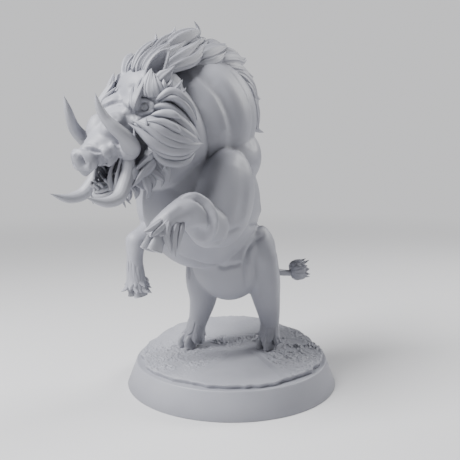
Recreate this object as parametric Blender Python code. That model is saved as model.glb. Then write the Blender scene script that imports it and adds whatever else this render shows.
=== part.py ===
"""A rearing wild boar figurine on its round scenic base, cast in light grey resin.

Run with: blender --background --python part.py

The boar faces -Y and its left side is +X. The origin is the centre of the base's underside. Shapes are
written in millimetres, and each mesh is scaled to metres as it becomes an object. Flesh masses are
rounded solids fused into one mesh. Tusks, hoofs and locks of hair are lofts. Where two pieces touch,
the softer one is cut back by the harder one, swollen by the gap.
"""

import math

import bmesh
import bpy
from mathutils import Matrix, Vector
from mathutils.bvhtree import BVHTree

MM = 0.001
GAP = 0.5

# The base
BASE_BOTTOM_RADIUS = 25.0
BASE_TOP_RADIUS = 22.75
BASE_HEIGHT = 5.9
BASE_BEVEL = 0.35
BASE_SIDES = 64
GROUND_RADIUS = 21.7
GROUND_FLOOR = BASE_HEIGHT + GAP + 0.02
GROUND_TOP = 7.0

# The head's own frame: x to its left, f along the muzzle, u up through the forehead
HEAD_CENTRE = Vector((0.0, -28.0, 63.0))
HEAD_PITCH = math.radians(40.0)

# The meshing of flesh: the size of its cells, then how far it is smoothed and thinned out
CELL = 0.6
SMOOTHING = 3

# After the cuts, a piece with more faces than this keeps the first share that leaves it closed
FEW_FACES = 300
KEPT_SHARES = (0.4, 0.42, 0.45, 0.5, 0.6, 0.75)

# Sizes of the boar's separate parts
EYE_RADIUS = 1.15
TUSK_RADIUS = 1.65
LOWER_TUSK_RADIUS = 1.35
LOCK_THICKNESS = 0.75
LOCK_SIDES = 6
LEFT, RIGHT = 1, -1
SIDE_NAMES = {LEFT: "left", RIGHT: "right"}

RESIN = (0.36, 0.38, 0.44)


# ------------------------------------------------------------------------------- points and curves


def start_empty_scene():
    for thing in list(bpy.data.objects):
        bpy.data.objects.remove(thing, do_unlink=True)


def resin(name, shade):
    """Matte resin, a little lighter or darker than its neighbours by shade."""
    material = bpy.data.materials.new(name)
    material.use_nodes = True
    surface = material.node_tree.nodes["Principled BSDF"]
    surface.inputs["Base Color"].default_value = (*(shade * channel for channel in RESIN), 1.0)
    surface.inputs["Roughness"].default_value = 0.55
    surface.inputs["Metallic"].default_value = 0.0
    return material


def head_point(x, f, u):
    """A point of the head's own frame, in world millimetres."""
    return HEAD_CENTRE + Matrix.Rotation(HEAD_PITCH, 3, "X") @ Vector((x, -f, u))


def on_side(side, points):
    """Points given for the left side, or their mirror images for the right."""
    return [Vector((side * x, y, z)) for x, y, z in points]


def smooth_point(points, share):
    """The point at a share, 0 to 1, of a smooth curve through the points."""
    last = len(points) - 1
    place = min(max(share, 0.0), 1.0) * last
    step = min(int(place), last - 1)
    t = place - step
    before, start = points[max(step - 1, 0)], points[step]
    end, after = points[step + 1], points[min(step + 2, last)]
    straight = 2 * start + (end - before) * t
    bend = (2 * before - 5 * start + 4 * end - after) * t * t
    twist = (3 * start - before - 3 * end + after) * t * t * t
    return 0.5 * (straight + bend + twist)


def blend(values, share):
    """The value at a share, 0 to 1, of evenly spaced values."""
    place = min(max(share, 0.0), 1.0) * (len(values) - 1)
    step = min(int(place), len(values) - 2)
    return values[step] + (values[step + 1] - values[step]) * (place - step)


# --------------------------------------------------------------------- raw shapes, added to a bmesh


def add_ball(shape, centre, radii, tilt=0.0, detail=4):
    """An ellipsoid. A tilt, in degrees, leans its top forward."""
    turn = Matrix.Rotation(math.radians(tilt), 4, "X")
    place = Matrix.Translation(Vector(centre)) @ turn @ Matrix.Diagonal((*radii, 1.0))
    bmesh.ops.create_icosphere(shape, subdivisions=detail, radius=1.0, matrix=place)


def add_loft(shape, points, widths, heights, face, rings=8, sides=10):
    """A closed loft along a smooth curve.

    widths are its half sizes across the face direction and heights those along it, evenly spaced.
    An end of no width closes in a point.
    """
    points = [Vector(point) for point in points]
    loops = []
    for ring in range(rings + 1):
        share = ring / rings
        centre = smooth_point(points, share)
        ahead = smooth_point(points, share + 0.03) - smooth_point(points, share - 0.03)
        across = ahead.cross(Vector(face)).normalized()
        out = across.cross(ahead).normalized()
        half_width = blend(widths, share)
        half_height = blend(heights, share)
        if half_width == 0:
            loops.append([shape.verts.new(centre)])
            continue
        loop = []
        for side in range(sides):
            angle = math.tau * side / sides
            offset = across * math.cos(angle) * half_width + out * math.sin(angle) * half_height
            loop.append(shape.verts.new(centre + offset))
        loops.append(loop)
    for near, far in zip(loops, loops[1:]):
        for side in range(sides):
            after = (side + 1) % sides
            ends = [near[side % len(near)], near[after % len(near)], far[after % len(far)], far[side % len(far)]]
            shape.faces.new(list(dict.fromkeys(ends)))
    for loop in (loops[0], loops[-1]):
        if len(loop) > 2:
            shape.faces.new(loop)


def add_limb(shape, points, radii):
    """A round limb that follows a curve, with a ball at each end."""
    add_loft(shape, points, radii, radii, (0.31, 0.17, 0.93), rings=14, sides=20)
    for point, radius in ((points[0], radii[0]), (points[-1], radii[-1])):
        add_ball(shape, point, (radius, radius, radius))


def add_lock(shape, root, bend, tip, width, face, thickness=LOCK_THICKNESS):
    """A lock of hair: a leaf that leaves its root towards the bend and ends in a sharp tip."""
    root, bend, tip = Vector(root), Vector(bend), Vector(tip)
    loops = []
    for t, share_of_width in ((0.0, 0.6), (0.3, 1.0), (0.6, 0.8), (0.83, 0.42)):
        centre = root.lerp(bend, t).lerp(bend.lerp(tip, t), t)
        ahead = bend.lerp(tip, t) - root.lerp(bend, t)
        across = ahead.cross(Vector(face)).normalized() * width * share_of_width
        out = across.cross(ahead).normalized() * thickness * (1.0 - 0.45 * t)
        turns = (math.tau * side / LOCK_SIDES for side in range(LOCK_SIDES))
        loops.append([shape.verts.new(centre + across * math.cos(turn) + out * math.sin(turn)) for turn in turns])
    end = shape.verts.new(tip)
    for side in range(LOCK_SIDES):
        after = (side + 1) % LOCK_SIDES
        for near, far in zip(loops, loops[1:]):
            shape.faces.new((near[side], near[after], far[after], far[side]))
        shape.faces.new((loops[-1][side], loops[-1][after], end))
    shape.faces.new(list(reversed(loops[0])))


# ----------------------------------------------------------------------------- meshes from shapes


def to_mesh(shape):
    bmesh.ops.recalc_face_normals(shape, faces=shape.faces)
    mesh = bpy.data.meshes.new("shape")
    shape.to_mesh(mesh)
    shape.free()
    return mesh


def is_closed(mesh):
    """Whether every edge of the mesh has two faces that agree which way is out."""
    shape = bmesh.new()
    shape.from_mesh(mesh)
    closed = all(edge.is_contiguous for edge in shape.edges)
    shape.free()
    return closed


def with_modifiers(mesh, add_modifiers):
    """The mesh after the modifiers that add_modifiers puts on an object holding it."""
    helper = bpy.data.objects.new("helper", mesh)
    bpy.context.scene.collection.objects.link(helper)
    add_modifiers(helper.modifiers)
    graph = bpy.context.evaluated_depsgraph_get()
    made = bpy.data.meshes.new_from_object(helper.evaluated_get(graph))
    bpy.data.objects.remove(helper, do_unlink=True)
    return made


def fused(shape, share, cell=CELL, smoothing=SMOOTHING):
    """Overlapping shapes as one skin of evenly sized cells, smoothed, then thinned out to a share."""

    def add_modifiers(modifiers):
        remesh = modifiers.new("fuse", "REMESH")
        remesh.mode = "VOXEL"
        remesh.voxel_size = cell
        smooth = modifiers.new("smooth", "SMOOTH")
        smooth.iterations = smoothing
        smooth.factor = 0.5
        thin = modifiers.new("thin out", "DECIMATE")
        thin.ratio = share

    return with_modifiers(to_mesh(shape), add_modifiers)


def combined(first, second, operation, crossing=False):
    """Two meshes joined or cut. crossing says that the second crosses itself.

    The exact solver goes first. Where its result isn't one closed surface, the manifold solver's is kept.
    """
    helper = bpy.data.objects.new("operand", second)
    bpy.context.scene.collection.objects.link(helper)
    for solver in ("EXACT", "MANIFOLD"):

        def add_modifiers(modifiers, chosen=solver):
            boolean = modifiers.new("boolean", "BOOLEAN")
            boolean.solver = chosen
            boolean.operation = operation
            boolean.object = helper
            if chosen == "EXACT":
                boolean.use_self = crossing

        made = main_body(with_modifiers(first, add_modifiers))
        if is_closed(made):
            break
    bpy.data.objects.remove(helper, do_unlink=True)
    return made


def joined(core, locks):
    """Locks that cross each other, joined to the core that they grow from."""
    return combined(to_mesh(core), to_mesh(locks), "UNION", crossing=True)


def volume_of(body):
    """Six times the volume inside a closed body, given as its triangles."""
    corners = ([vert.co for vert in face.verts] for face in body)
    return sum(first.dot(second.cross(third)) for first, second, third in corners)


def main_body(mesh):
    """The mesh with its slivers closed up and only its largest body kept."""
    shape = bmesh.new()
    shape.from_mesh(mesh)
    bmesh.ops.remove_doubles(shape, verts=shape.verts, dist=0.002)
    bmesh.ops.triangulate(shape, faces=shape.faces)
    waiting = set(shape.faces)
    bodies = []
    while waiting:
        body = set()
        reached = [waiting.pop()]
        while reached:
            face = reached.pop()
            body.add(face)
            for other in (neighbour for edge in face.edges for neighbour in edge.link_faces):
                if other in waiting:
                    waiting.discard(other)
                    reached.append(other)
        bodies.append(body)
    largest = max(bodies, key=volume_of)
    spare = [face for body in bodies if body is not largest for face in body]
    bmesh.ops.delete(shape, geom=spare, context="FACES")
    shape.to_mesh(mesh)
    shape.free()
    return mesh


def tree_of(mesh):
    return BVHTree.FromPolygons([vert.co for vert in mesh.vertices], [face.vertices for face in mesh.polygons])


def thinned_out(mesh, neighbours):
    """The mesh with the smallest share of its faces that leaves it closed and clear of its neighbours."""
    for kept in KEPT_SHARES:

        def add_modifiers(modifiers, ratio=kept):
            thin = modifiers.new("thin out", "DECIMATE")
            thin.ratio = ratio

        thin_mesh = main_body(with_modifiers(mesh, add_modifiers))
        surface = tree_of(thin_mesh)
        if is_closed(thin_mesh) and not any(surface.overlap(tree_of(other)) for other in neighbours):
            return thin_mesh
    return mesh.copy()


def swollen(mesh, distance):
    """A copy of the mesh whose every face lies this much further out."""
    shape = bmesh.new()
    shape.from_mesh(mesh)
    shape.normal_update()
    shifts = []
    for vert in shape.verts:
        leaning = min((vert.normal.dot(face.normal) for face in vert.link_faces), default=1.0)
        shifts.append(vert.normal * distance / max(leaning, 0.35))
    for vert, shift in zip(shape.verts, shifts):
        vert.co += shift
    copy = bpy.data.meshes.new("swollen")
    shape.to_mesh(copy)
    shape.free()
    return copy


def bounds(mesh):
    places = [vertex.co for vertex in mesh.vertices]
    low = [min(place[axis] for place in places) for axis in range(3)]
    high = [max(place[axis] for place in places) for axis in range(3)]
    return low, high


def near_each_other(first, second):
    (low, high), (other_low, other_high) = bounds(first), bounds(second)
    return all(low[axis] < other_high[axis] + GAP and other_low[axis] < high[axis] + GAP for axis in range(3))


# -------------------------------------------------------------------------------------- the flesh


def trunk():
    shape = bmesh.new()
    add_ball(shape, (0, -9.4, 43.6), (10.4, 15.6, 14.6), tilt=-12)
    add_ball(shape, (0, -15.6, 47.5), (8.8, 8.4, 10.0))
    add_ball(shape, (0, -5.8, 53.6), (9.8, 11.7, 8.4))
    add_ball(shape, (0, -9.0, 62.4), (10.0, 13.0, 13.2))
    add_ball(shape, (0, -0.8, 30.6), (8.8, 9.2, 10.6))
    add_ball(shape, (0, 1.6, 30.0), (8.0, 7.4, 7.0))
    return fused(shape, 0.035)


def neck():
    shape = bmesh.new()
    add_ball(shape, (0, -21.6, 60.5), (9.4, 7.4, 13.2), tilt=36)
    add_ball(shape, (0, -21.5, 55.0), (7.6, 7.0, 8.0))
    return fused(shape, 0.04)


def head():
    shape = bmesh.new()
    pitch = math.degrees(HEAD_PITCH)
    add_ball(shape, head_point(0, -4.6, 0.4), (6.4, 7.4, 5.6), pitch)
    for side in (LEFT, RIGHT):
        add_ball(shape, head_point(side * 3.3, 1.2, 3.7), (2.6, 3.4, 1.9), pitch)
        add_ball(shape, head_point(side * 4.6, -1.0, -2.4), (2.8, 6.0, 4.4), pitch)
        add_ball(shape, head_point(side * 4.3, 9.6, -1.0), (2.1, 2.3, 2.0), pitch)
        add_ball(shape, head_point(side * 3.3, 12.6, 0.9), (1.3, 1.5, 1.3), pitch)
    bridge = [head_point(0, -3, 0.6), head_point(0, 4, 1.0), head_point(0, 9, 1.1), head_point(0, 15.0, 1.4)]
    add_loft(shape, bridge, [5.4, 4.7, 4.2, 2.7], [4.4, 3.2, 3.0, 2.3], (0, 0, 1), sides=20)
    add_ball(shape, head_point(0, 16.3, 1.5), (2.85, 0.95, 2.7), pitch - 10)
    return fused(shape, 0.07, cell=0.45, smoothing=2)


def lower_jaw():
    """The jaw bone's flesh, hollowed along its top for the tongue."""
    shape = bmesh.new()
    line = [head_point(0, 2, -7.0), head_point(0, 8, -7.6), head_point(0, 13, -7.6), head_point(0, 17.0, -6.4)]
    add_loft(shape, line, [3.6, 4.2, 3.8, 2.2], [2.6, 2.2, 1.9, 1.2], (0, 0, 1), sides=20)
    add_ball(shape, head_point(0, 16.8, -6.4), (2.2, 1.7, 1.2), math.degrees(HEAD_PITCH))
    for side in (LEFT, RIGHT):
        add_ball(shape, head_point(side * 4.6, 11.6, -5.2), (1.6, 2.4, 2.0), math.degrees(HEAD_PITCH))
    jaw = fused(shape, 0.07, cell=0.45, smoothing=2)
    trough = bmesh.new()
    add_ball(trough, head_point(0, 11.5, -5.0), (2.6, 5.6, 1.9), math.degrees(HEAD_PITCH) - 4, detail=2)
    return combined(jaw, to_mesh(trough), "DIFFERENCE")


def tongue():
    shape = bmesh.new()
    line = [head_point(0, 5.5, -5.6), head_point(0, 9.5, -5.0), head_point(0, 13.0, -5.4), head_point(0, 15.4, -4.6)]
    add_loft(shape, line, [1.4, 1.7, 1.6, 0.7], [0.7, 0.8, 0.6, 0.35], (0, 0, 1), rings=8, sides=12)
    return to_mesh(shape)


def foreleg(side):
    """The upper arm's egg, then the forearm and the cannon. The left one is raised and folded."""
    shape = bmesh.new()
    add_ball(shape, (side * 9.1, -12.4, 45.6), (5.2, 7.6, 10.6), tilt=-14)
    if side == LEFT:
        add_limb(shape, on_side(side, [(10.4, -18.6, 40.0), (11.3, -22.4, 42.6), (11.2, -24.9, 44.6)]), [4.2, 3.7, 3.0])
        add_limb(shape, on_side(side, [(11.2, -24.9, 44.6), (10.6, -28.6, 43.4), (10.0, -31.4, 41.6)]), [3.0, 2.2, 2.0])
    else:
        add_limb(shape, on_side(side, [(9.0, -14.0, 38.6), (8.8, -18.4, 36.8), (8.8, -21.9, 35.6)]), [4.0, 2.8, 2.3])
        add_limb(shape, on_side(side, [(8.8, -21.9, 35.6), (8.8, -22.2, 32.0), (9.0, -21.7, 27.6)]), [2.3, 1.8, 1.9])
    return fused(shape, 0.05)


def hind_leg(side):
    shape = bmesh.new()
    if side == LEFT:
        add_ball(shape, (5.2, 2.6, 31.0), (4.6, 5.4, 7.4))
        line = [(5.8, 3.4, 30.0), (6.2, 4.4, 25.0), (6.3, 5.4, 20.5), (6.0, 7.0, 15.5), (5.6, 8.1, 11.0)]
    else:
        add_ball(shape, (-5.2, -1.2, 30.0), (4.6, 5.4, 7.4))
        line = [(-6.0, -3.0, 29.0), (-6.4, -3.4, 24.5), (-6.6, -3.0, 20.0), (-7.6, -3.2, 15.5), (-8.8, -3.8, 11.0)]
    add_limb(shape, line, [4.4, 4.1, 3.4, 2.7, 2.0])
    return fused(shape, 0.05)


def tail():
    shape = bmesh.new()
    line = [(0.6, 6.5, 29.5), (2.4, 10.5, 26.4), (4.2, 13.2, 25.0), (6.0, 17.2, 24.4)]
    add_limb(shape, line, [1.3, 1.05, 0.9, 0.85])
    return fused(shape, 0.15, cell=0.35, smoothing=1)


def ear(side):
    """A long leaf, hollow on its outer face."""
    shape = bmesh.new()
    line = on_side(side, [(3.4, -26.8, 68.0), (4.4, -26.3, 70.6), (5.4, -25.2, 73.0), (6.3, -23.5, 75.6)])
    add_loft(shape, line, [1.3, 2.0, 1.5, 0.0], [0.8, 0.75, 0.6, 0.0], (side * 0.75, 0.6, 0.2), rings=6, sides=8)
    return to_mesh(shape)


# ---------------------------------------------------------------------------------- eyes and horn


def eye(side):
    shape = bmesh.new()
    add_ball(shape, head_point(side * 4.9, 1.5, 2.5), (EYE_RADIUS, EYE_RADIUS, EYE_RADIUS), detail=2)
    return to_mesh(shape)


def upper_tusk(side):
    """A tusk that leaves the lip outward and sweeps up past the eyes."""
    shape = bmesh.new()
    line = [(3.2, 8.4, -1.0), (5.5, 9.8, 0.2), (6.3, 10.7, 3.4), (6.2, 10.2, 7.4), (5.6, 8.6, 11.4)]
    line = [head_point(side * x, f, u) for x, f, u in line]
    radii = [TUSK_RADIUS, TUSK_RADIUS, 0.76 * TUSK_RADIUS, 0.52 * TUSK_RADIUS, 0.0]
    add_loft(shape, line, radii, radii, (side, 0, 0.2), rings=9, sides=10)
    return to_mesh(shape)


def lower_tusk(side):
    """A longer tusk that follows the jaw down and forward, then hooks up."""
    shape = bmesh.new()
    line = [(4.4, 9.4, -3.6), (5.7, 13.2, -4.4), (6.4, 17.0, -5.6), (6.8, 20.4, -4.6), (6.4, 23.0, -0.6)]
    line = [head_point(side * x, f, u) for x, f, u in line]
    radii = [LOWER_TUSK_RADIUS, LOWER_TUSK_RADIUS, 0.95 * LOWER_TUSK_RADIUS, 0.7 * LOWER_TUSK_RADIUS, 0.0]
    add_loft(shape, line, radii, radii, (side, 0, 0.2), rings=9, sides=10)
    return to_mesh(shape)


def toe(root, tip, across, size, side):
    """One toe of a cloven hoof, as a wedge that narrows to its tip."""
    shape = bmesh.new()
    root, tip = Vector(root), Vector(tip)
    shift = Vector(across).normalized() * side * 0.8 * size
    sole = Vector(across).cross(tip - root)
    line = [root + 0.7 * shift, root.lerp(tip, 0.55) + shift, tip + 0.9 * shift]
    add_loft(shape, line, [0.95 * size, size, 0.5 * size], [1.4 * size, 1.35 * size, 0.75 * size], sole, 3, 8)
    return to_mesh(shape)


def hoof(root, tip, across, size):
    """A cloven hoof: two toes side by side, joined at the root."""
    pair = [toe(root, tip, across, size, side) for side in (LEFT, RIGHT)]
    return combined(*pair, "UNION")


# ------------------------------------------------------------------------------------------- hair


def spine_point(share):
    """A point on the ridge of the neck and back, from the forehead to between the shoulders."""
    ridge = [(-27.0, 70.6), (-22.5, 73.8), (-17.0, 75.6), (-11.0, 75.9), (-5.0, 74.8), (-0.4, 71.6), (2.6, 66.4), (3.9, 60.4)]
    return smooth_point([Vector((0, y, z)) for y, z in ridge], share)


CREST = (
    # where a lock's root is along the ridge, then its tip's y and z, and its half width
    (0.00, -23.0, 79.2, 1.5),
    (0.08, -17.7, 81.0, 1.7),
    (0.18, -12.3, 83.0, 2.2),
    (0.30, -7.6, 79.8, 2.1),
    (0.42, -1.9, 79.4, 2.1),
    (0.56, 5.2, 76.8, 2.2),
    (0.66, 7.9, 72.5, 2.0),
    (0.75, 10.7, 67.6, 1.9),
    (0.83, 9.6, 63.9, 1.7),
    (0.91, 11.8, 59.5, 1.5),
)


def add_crest_lock(shape, share, tip, spread, reach, width):
    """A lock of the mane that lies back along the ridge. spread moves it aside, and reach shortens it."""
    root = spine_point(share) + Vector((spread, 0, -0.2 * abs(spread)))
    tip = root.lerp(Vector((1.2 * spread, *tip)), reach)
    ahead = (spine_point(share + 0.04) - spine_point(share - 0.04)).normalized()
    above = Vector((-1, 0, 0)).cross(ahead)
    length = (tip - root).length
    bend = root + ahead * 0.55 * length + above * 0.1 * length
    face = Vector((1 if spread >= 0 else -1, 0, 0)) + above * 0.25 * abs(spread)
    add_lock(shape, root - ahead, bend, tip, width, face)


def mane():
    """A crest of overlapping locks on a keel that is sunk in the neck and the back."""
    core = bmesh.new()
    ridge = [spine_point(step / 8) for step in range(9)]
    add_loft(core, ridge, [1.0, 2.2, 2.8, 3.0, 2.8, 2.2, 1.0], [1.0, 2.2, 2.9, 3.0, 2.8, 2.2, 0.9], (0, 0.2, 1), 12, 8)
    locks = bmesh.new()
    for share, y, z, width in CREST:
        add_crest_lock(locks, share, (y, z), 0.0, 1.0, width)
        for spread, later in ((-2.1, 0.045), (1.95, 0.03)):
            add_crest_lock(locks, share + later, (y, z), spread, 0.8, width)
    return joined(core, locks)


def ruff(side):
    """Three broad petals of stiff hair that sweep back over the cheek."""
    core = bmesh.new()
    add_ball(core, (side * 7.0, -27.0, 60.0), (2.4, 4.6, 4.6), detail=2)
    out = (side, -0.1, 0.25)
    petals = bmesh.new()
    middle = on_side(side, [(6.0, -33.6, 60.6), (8.2, -31.0, 59.8), (9.7, -27.6, 59.3), (10.5, -24.0, 57.8), (10.6, -19.9, 57.0)])
    add_loft(petals, middle, [1.4, 3.4, 3.9, 2.4, 0.0], [0.8, 1.2, 1.2, 1.0, 0.0], out, 6, 8)
    upper = on_side(side, [(6.8, -28.8, 64.8), (8.4, -27.0, 66.2), (9.3, -24.6, 65.6), (9.8, -22.6, 63.2), (10.1, -21.2, 59.6)])
    add_loft(petals, upper, [0.9, 1.5, 1.6, 1.2, 0.0], [0.8, 1.0, 1.0, 0.9, 0.0], out, 6, 6)
    lower = on_side(side, [(6.4, -30.2, 56.8), (7.4, -29.0, 55.2), (8.4, -27.0, 54.2), (9.1, -24.0, 54.0), (9.5, -20.5, 55.8)])
    add_loft(petals, lower, [1.0, 1.7, 1.9, 1.3, 0.0], [0.8, 1.0, 1.0, 0.9, 0.0], out, 6, 6)
    return joined(core, petals)


def brow(side):
    """The tufts over one eye."""
    core = bmesh.new()
    add_ball(core, (side * 4.6, -29.4, 66.9), (1.9, 3.0, 1.6), detail=2)
    locks = bmesh.new()
    out = (side, -0.5, 0.3)
    for line, width in (
        ([(4.2, -32.8, 63.9), (5.4, -32.2, 67.2), (5.2, -29.4, 69.6)], 1.1),
        ([(5.2, -30.8, 65.6), (7.2, -28.6, 67.8), (6.0, -29.3, 70.7)], 1.6),
        ([(5.8, -29.6, 65.8), (7.6, -28.2, 66.8), (7.2, -26.9, 68.6)], 1.2),
        ([(2.6, -32.0, 65.4), (3.1, -33.4, 67.2), (3.1, -31.4, 68.8)], 1.0),
        ([(5.6, -27.6, 68.0), (7.2, -25.6, 68.4), (7.5, -23.3, 69.7)], 1.1),
    ):
        add_lock(locks, *on_side(side, line), width, out, 0.6)
    return joined(core, locks)


def beard():
    core = bmesh.new()
    add_ball(core, (0, -29.6, 52.2), (4.6, 3.6, 3.6), detail=2)
    locks = bmesh.new()
    for side in (LEFT, RIGHT):
        for line, width in (
            ([(4.0, -30.0, 55.4), (6.4, -27.6, 55.2), (6.1, -26.8, 51.8)], 1.2),
            ([(3.4, -30.6, 53.0), (5.6, -28.8, 49.6), (4.1, -29.8, 46.2)], 1.3),
            ([(2.0, -31.0, 52.0), (3.8, -32.2, 48.8), (2.7, -31.6, 46.6)], 1.2),
            ([(0.6, -31.0, 51.4), (1.4, -33.4, 48.0), (0.9, -32.4, 45.4)], 1.1),
        ):
            add_lock(locks, *on_side(side, line), width, (side, -0.6, -0.2), 0.65)
    return joined(core, locks)


def fringe(centre, down, radius, locks):
    """Hair round a foot: locks that hang from a cuff. Each is its angle, length and flare."""
    centre, down = Vector(centre), Vector(down).normalized()
    aside = down.cross(Vector((0, 1, 0))).normalized()
    round_ = down.cross(aside)
    core = bmesh.new()
    cuff = [centre - down * 1.4, centre, centre + down * 1.5]
    add_loft(core, cuff, [0.8 * radius, radius, 0.95 * radius], [0.8 * radius, radius, 0.95 * radius], aside, 2, 10)
    hair = bmesh.new()
    for angle, length, flare in locks:
        out = aside * math.cos(math.radians(angle)) + round_ * math.sin(math.radians(angle))
        root = centre + out * (radius - 0.5) - down * 0.8
        bend = root + down * 0.6 * length + out * 0.5
        tip = root + down * length + out * (0.3 + flare)
        add_lock(hair, root, bend, tip, 1.15, out, 0.6)
    return joined(core, hair)


def tail_tuft():
    root, tip = Vector((5.2, 15.2, 24.6)), Vector((8.4, 21.4, 25.2))
    ahead = (tip - root).normalized()
    aside = ahead.cross(Vector((0, 0, 1))).normalized()
    above = aside.cross(ahead)
    core = bmesh.new()
    add_ball(core, root.lerp(tip, 0.4), (1.7, 2.0, 1.8), detail=2)
    locks = bmesh.new()
    for angle, length, width in ((20, 5.2, 1.4), (85, 4.2, 1.5), (150, 5.0, 1.3), (215, 4.6, 1.3), (275, 4.8, 1.4), (335, 5.8, 1.4)):
        out = aside * math.cos(math.radians(angle)) + above * math.sin(math.radians(angle))
        start = root + ahead * 0.9 + out * 0.4
        bend = start + out * 2.2 + ahead * 0.45 * length
        add_lock(locks, start, bend, start + out * 1.5 + ahead * length, width, out, 0.65)
    return joined(core, locks)


# ------------------------------------------------------------------------------------------- base


def base_disc():
    shape = bmesh.new()
    place = Matrix.Translation((0, 0, BASE_HEIGHT / 2))
    bmesh.ops.create_cone(
        shape, cap_ends=True, segments=BASE_SIDES, radius1=BASE_BOTTOM_RADIUS, radius2=BASE_TOP_RADIUS,
        depth=BASE_HEIGHT, matrix=place,
    )
    rim = [edge for edge in shape.edges if all(vert.co.z > BASE_HEIGHT - 0.01 for vert in edge.verts)]
    bmesh.ops.bevel(shape, geom=rim, offset=BASE_BEVEL, segments=2, profile=0.5, affect="EDGES", material=-1)
    return to_mesh(shape)


def ground_height(x, y):
    """The top of the ground: flat under the feet, a slab that rises towards the back."""
    back = -0.67 * x + 0.74 * y
    slab = max(0.0, back - 6.0) * 0.17
    ripple = 0.10 * math.sin(0.9 * x + 0.4 * y) + 0.08 * math.sin(1.3 * y - 0.5 * x)
    return GROUND_TOP + slab + ripple


def base_ground():
    """A sheet of stone with a broken edge, standing a little above the disc."""
    shape = bmesh.new()
    sides, rings = 36, 3
    floor, top = [], []
    for ring in range(1, rings + 1):
        loop = []
        for side in range(sides):
            angle = math.tau * side / sides
            edge = GROUND_RADIUS + 0.5 * math.sin(5 * angle) * math.sin(3 * angle + 1) + 0.3 * math.sin(11 * angle)
            reach = edge * ring / rings
            x, y = reach * math.cos(angle), reach * math.sin(angle)
            loop.append(shape.verts.new((x, y, ground_height(x, y))))
            if ring == rings:
                floor.append(shape.verts.new((1.01 * x, 1.01 * y, GROUND_FLOOR)))
        top.append(loop)
    middle = shape.verts.new((0, 0, ground_height(0, 0)))
    for side in range(sides):
        after = (side + 1) % sides
        shape.faces.new((middle, top[0][side], top[0][after]))
        for inner, outer in zip(top, top[1:]):
            shape.faces.new((inner[side], outer[side], outer[after], inner[after]))
        shape.faces.new((top[-1][side], floor[side], floor[after], top[-1][after]))
    shape.faces.new(list(reversed(floor)))
    bmesh.ops.triangulate(shape, faces=shape.faces)
    return to_mesh(shape)


# -------------------------------------------------------------------------------------- the whole


def all_pieces():
    """Every piece's name, shade and mesh, the hardest first."""
    pieces = [("base_disc", 0.9, base_disc()), ("base_ground", 1.0, base_ground())]
    for side in (LEFT, RIGHT):
        name = SIDE_NAMES[side]
        pieces.append((f"eye_{name}", 1.05, eye(side)))
        pieces.append((f"upper_tusk_{name}", 1.15, upper_tusk(side)))
        pieces.append((f"lower_tusk_{name}", 1.15, lower_tusk(side)))
    pieces += [
        ("fore_hoof_left", 0.95, hoof((9.9, -31.4, 40.6), (9.2, -33.2, 36.8), (1, 0, 0), 1.25)),
        ("fore_hoof_right", 0.95, hoof((-9.0, -21.8, 27.0), (-9.0, -21.4, 22.9), (1, 0, 0), 1.25)),
        ("hind_hoof_left", 0.95, hoof((5.4, 8.4, 9.6), (4.9, 6.0, 7.4), (1, 0, 0), 1.35)),
        ("hind_hoof_right", 0.95, hoof((-9.3, -4.0, 9.6), (-9.9, -6.4, 7.4), (1, 0, 0), 1.35)),
    ]
    pieces += [(f"ear_{SIDE_NAMES[side]}", 1.0, ear(side)) for side in (LEFT, RIGHT)]
    pieces.append(("tongue", 0.92, tongue()))
    pieces += [
        ("lower_jaw", 0.97, lower_jaw()),
        ("head", 1.0, head()),
        ("foreleg_left", 1.0, foreleg(LEFT)),
        ("foreleg_right", 1.0, foreleg(RIGHT)),
        ("hind_leg_left", 1.0, hind_leg(LEFT)),
        ("hind_leg_right", 1.0, hind_leg(RIGHT)),
        ("tail", 1.0, tail()),
        ("neck", 0.98, neck()),
        ("trunk", 1.02, trunk()),
    ]
    pieces += [(f"ruff_{SIDE_NAMES[side]}", 1.1, ruff(side)) for side in (LEFT, RIGHT)]
    pieces += [(f"brow_{SIDE_NAMES[side]}", 1.1, brow(side)) for side in (LEFT, RIGHT)]
    left_fore = [(0, 4.6, 0.6), (60, 3.8, 0.7), (120, 4.2, 0.8), (180, 4.4, 0.6), (235, 6.4, 0.6), (280, 7.0, 1.0), (325, 5.4, 0.8)]
    right_fore = [(angle, 4.6 + 0.9 * math.sin(2.3 * angle), 1.1) for angle in range(0, 360, 51)]
    hind = [(angle, 6.6 + 0.8 * math.sin(1.7 * angle), 0.9) for angle in range(0, 360, 45)]
    pieces += [
        ("fore_fringe_left", 1.1, fringe((10.2, -31.0, 42.2), (-0.1, -0.55, -0.85), 3.0, left_fore)),
        ("fore_fringe_right", 1.1, fringe((-9.0, -22.1, 28.6), (0, 0.1, -1), 2.9, right_fore)),
        ("hind_fringe_left", 1.1, fringe((5.9, 7.5, 13.8), (-0.1, 0.12, -1), 3.7, hind)),
        ("hind_fringe_right", 1.1, fringe((-8.0, -3.5, 13.8), (-0.3, -0.1, -1), 3.7, hind)),
        ("mane", 1.1, mane()),
        ("beard", 1.1, beard()),
        ("tail_tuft", 1.1, tail_tuft()),
    ]
    return pieces


def main():
    start_empty_scene()
    done = []
    for name, shade, mesh in all_pieces():
        neighbours = [other for other in done if near_each_other(mesh, other)]
        for cutter in neighbours:
            mesh = combined(mesh, swollen(cutter, GAP), "DIFFERENCE", crossing=True)
        whole = thinned_out(mesh, neighbours) if len(mesh.polygons) > FEW_FACES else mesh
        done.append(whole.copy())
        whole.transform(Matrix.Scale(MM, 4))
        whole.materials.clear()
        whole.materials.append(resin(f"resin_{name}", shade))
        whole.shade_smooth()
        bpy.context.scene.collection.objects.link(bpy.data.objects.new(name, whole))


main()
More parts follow.
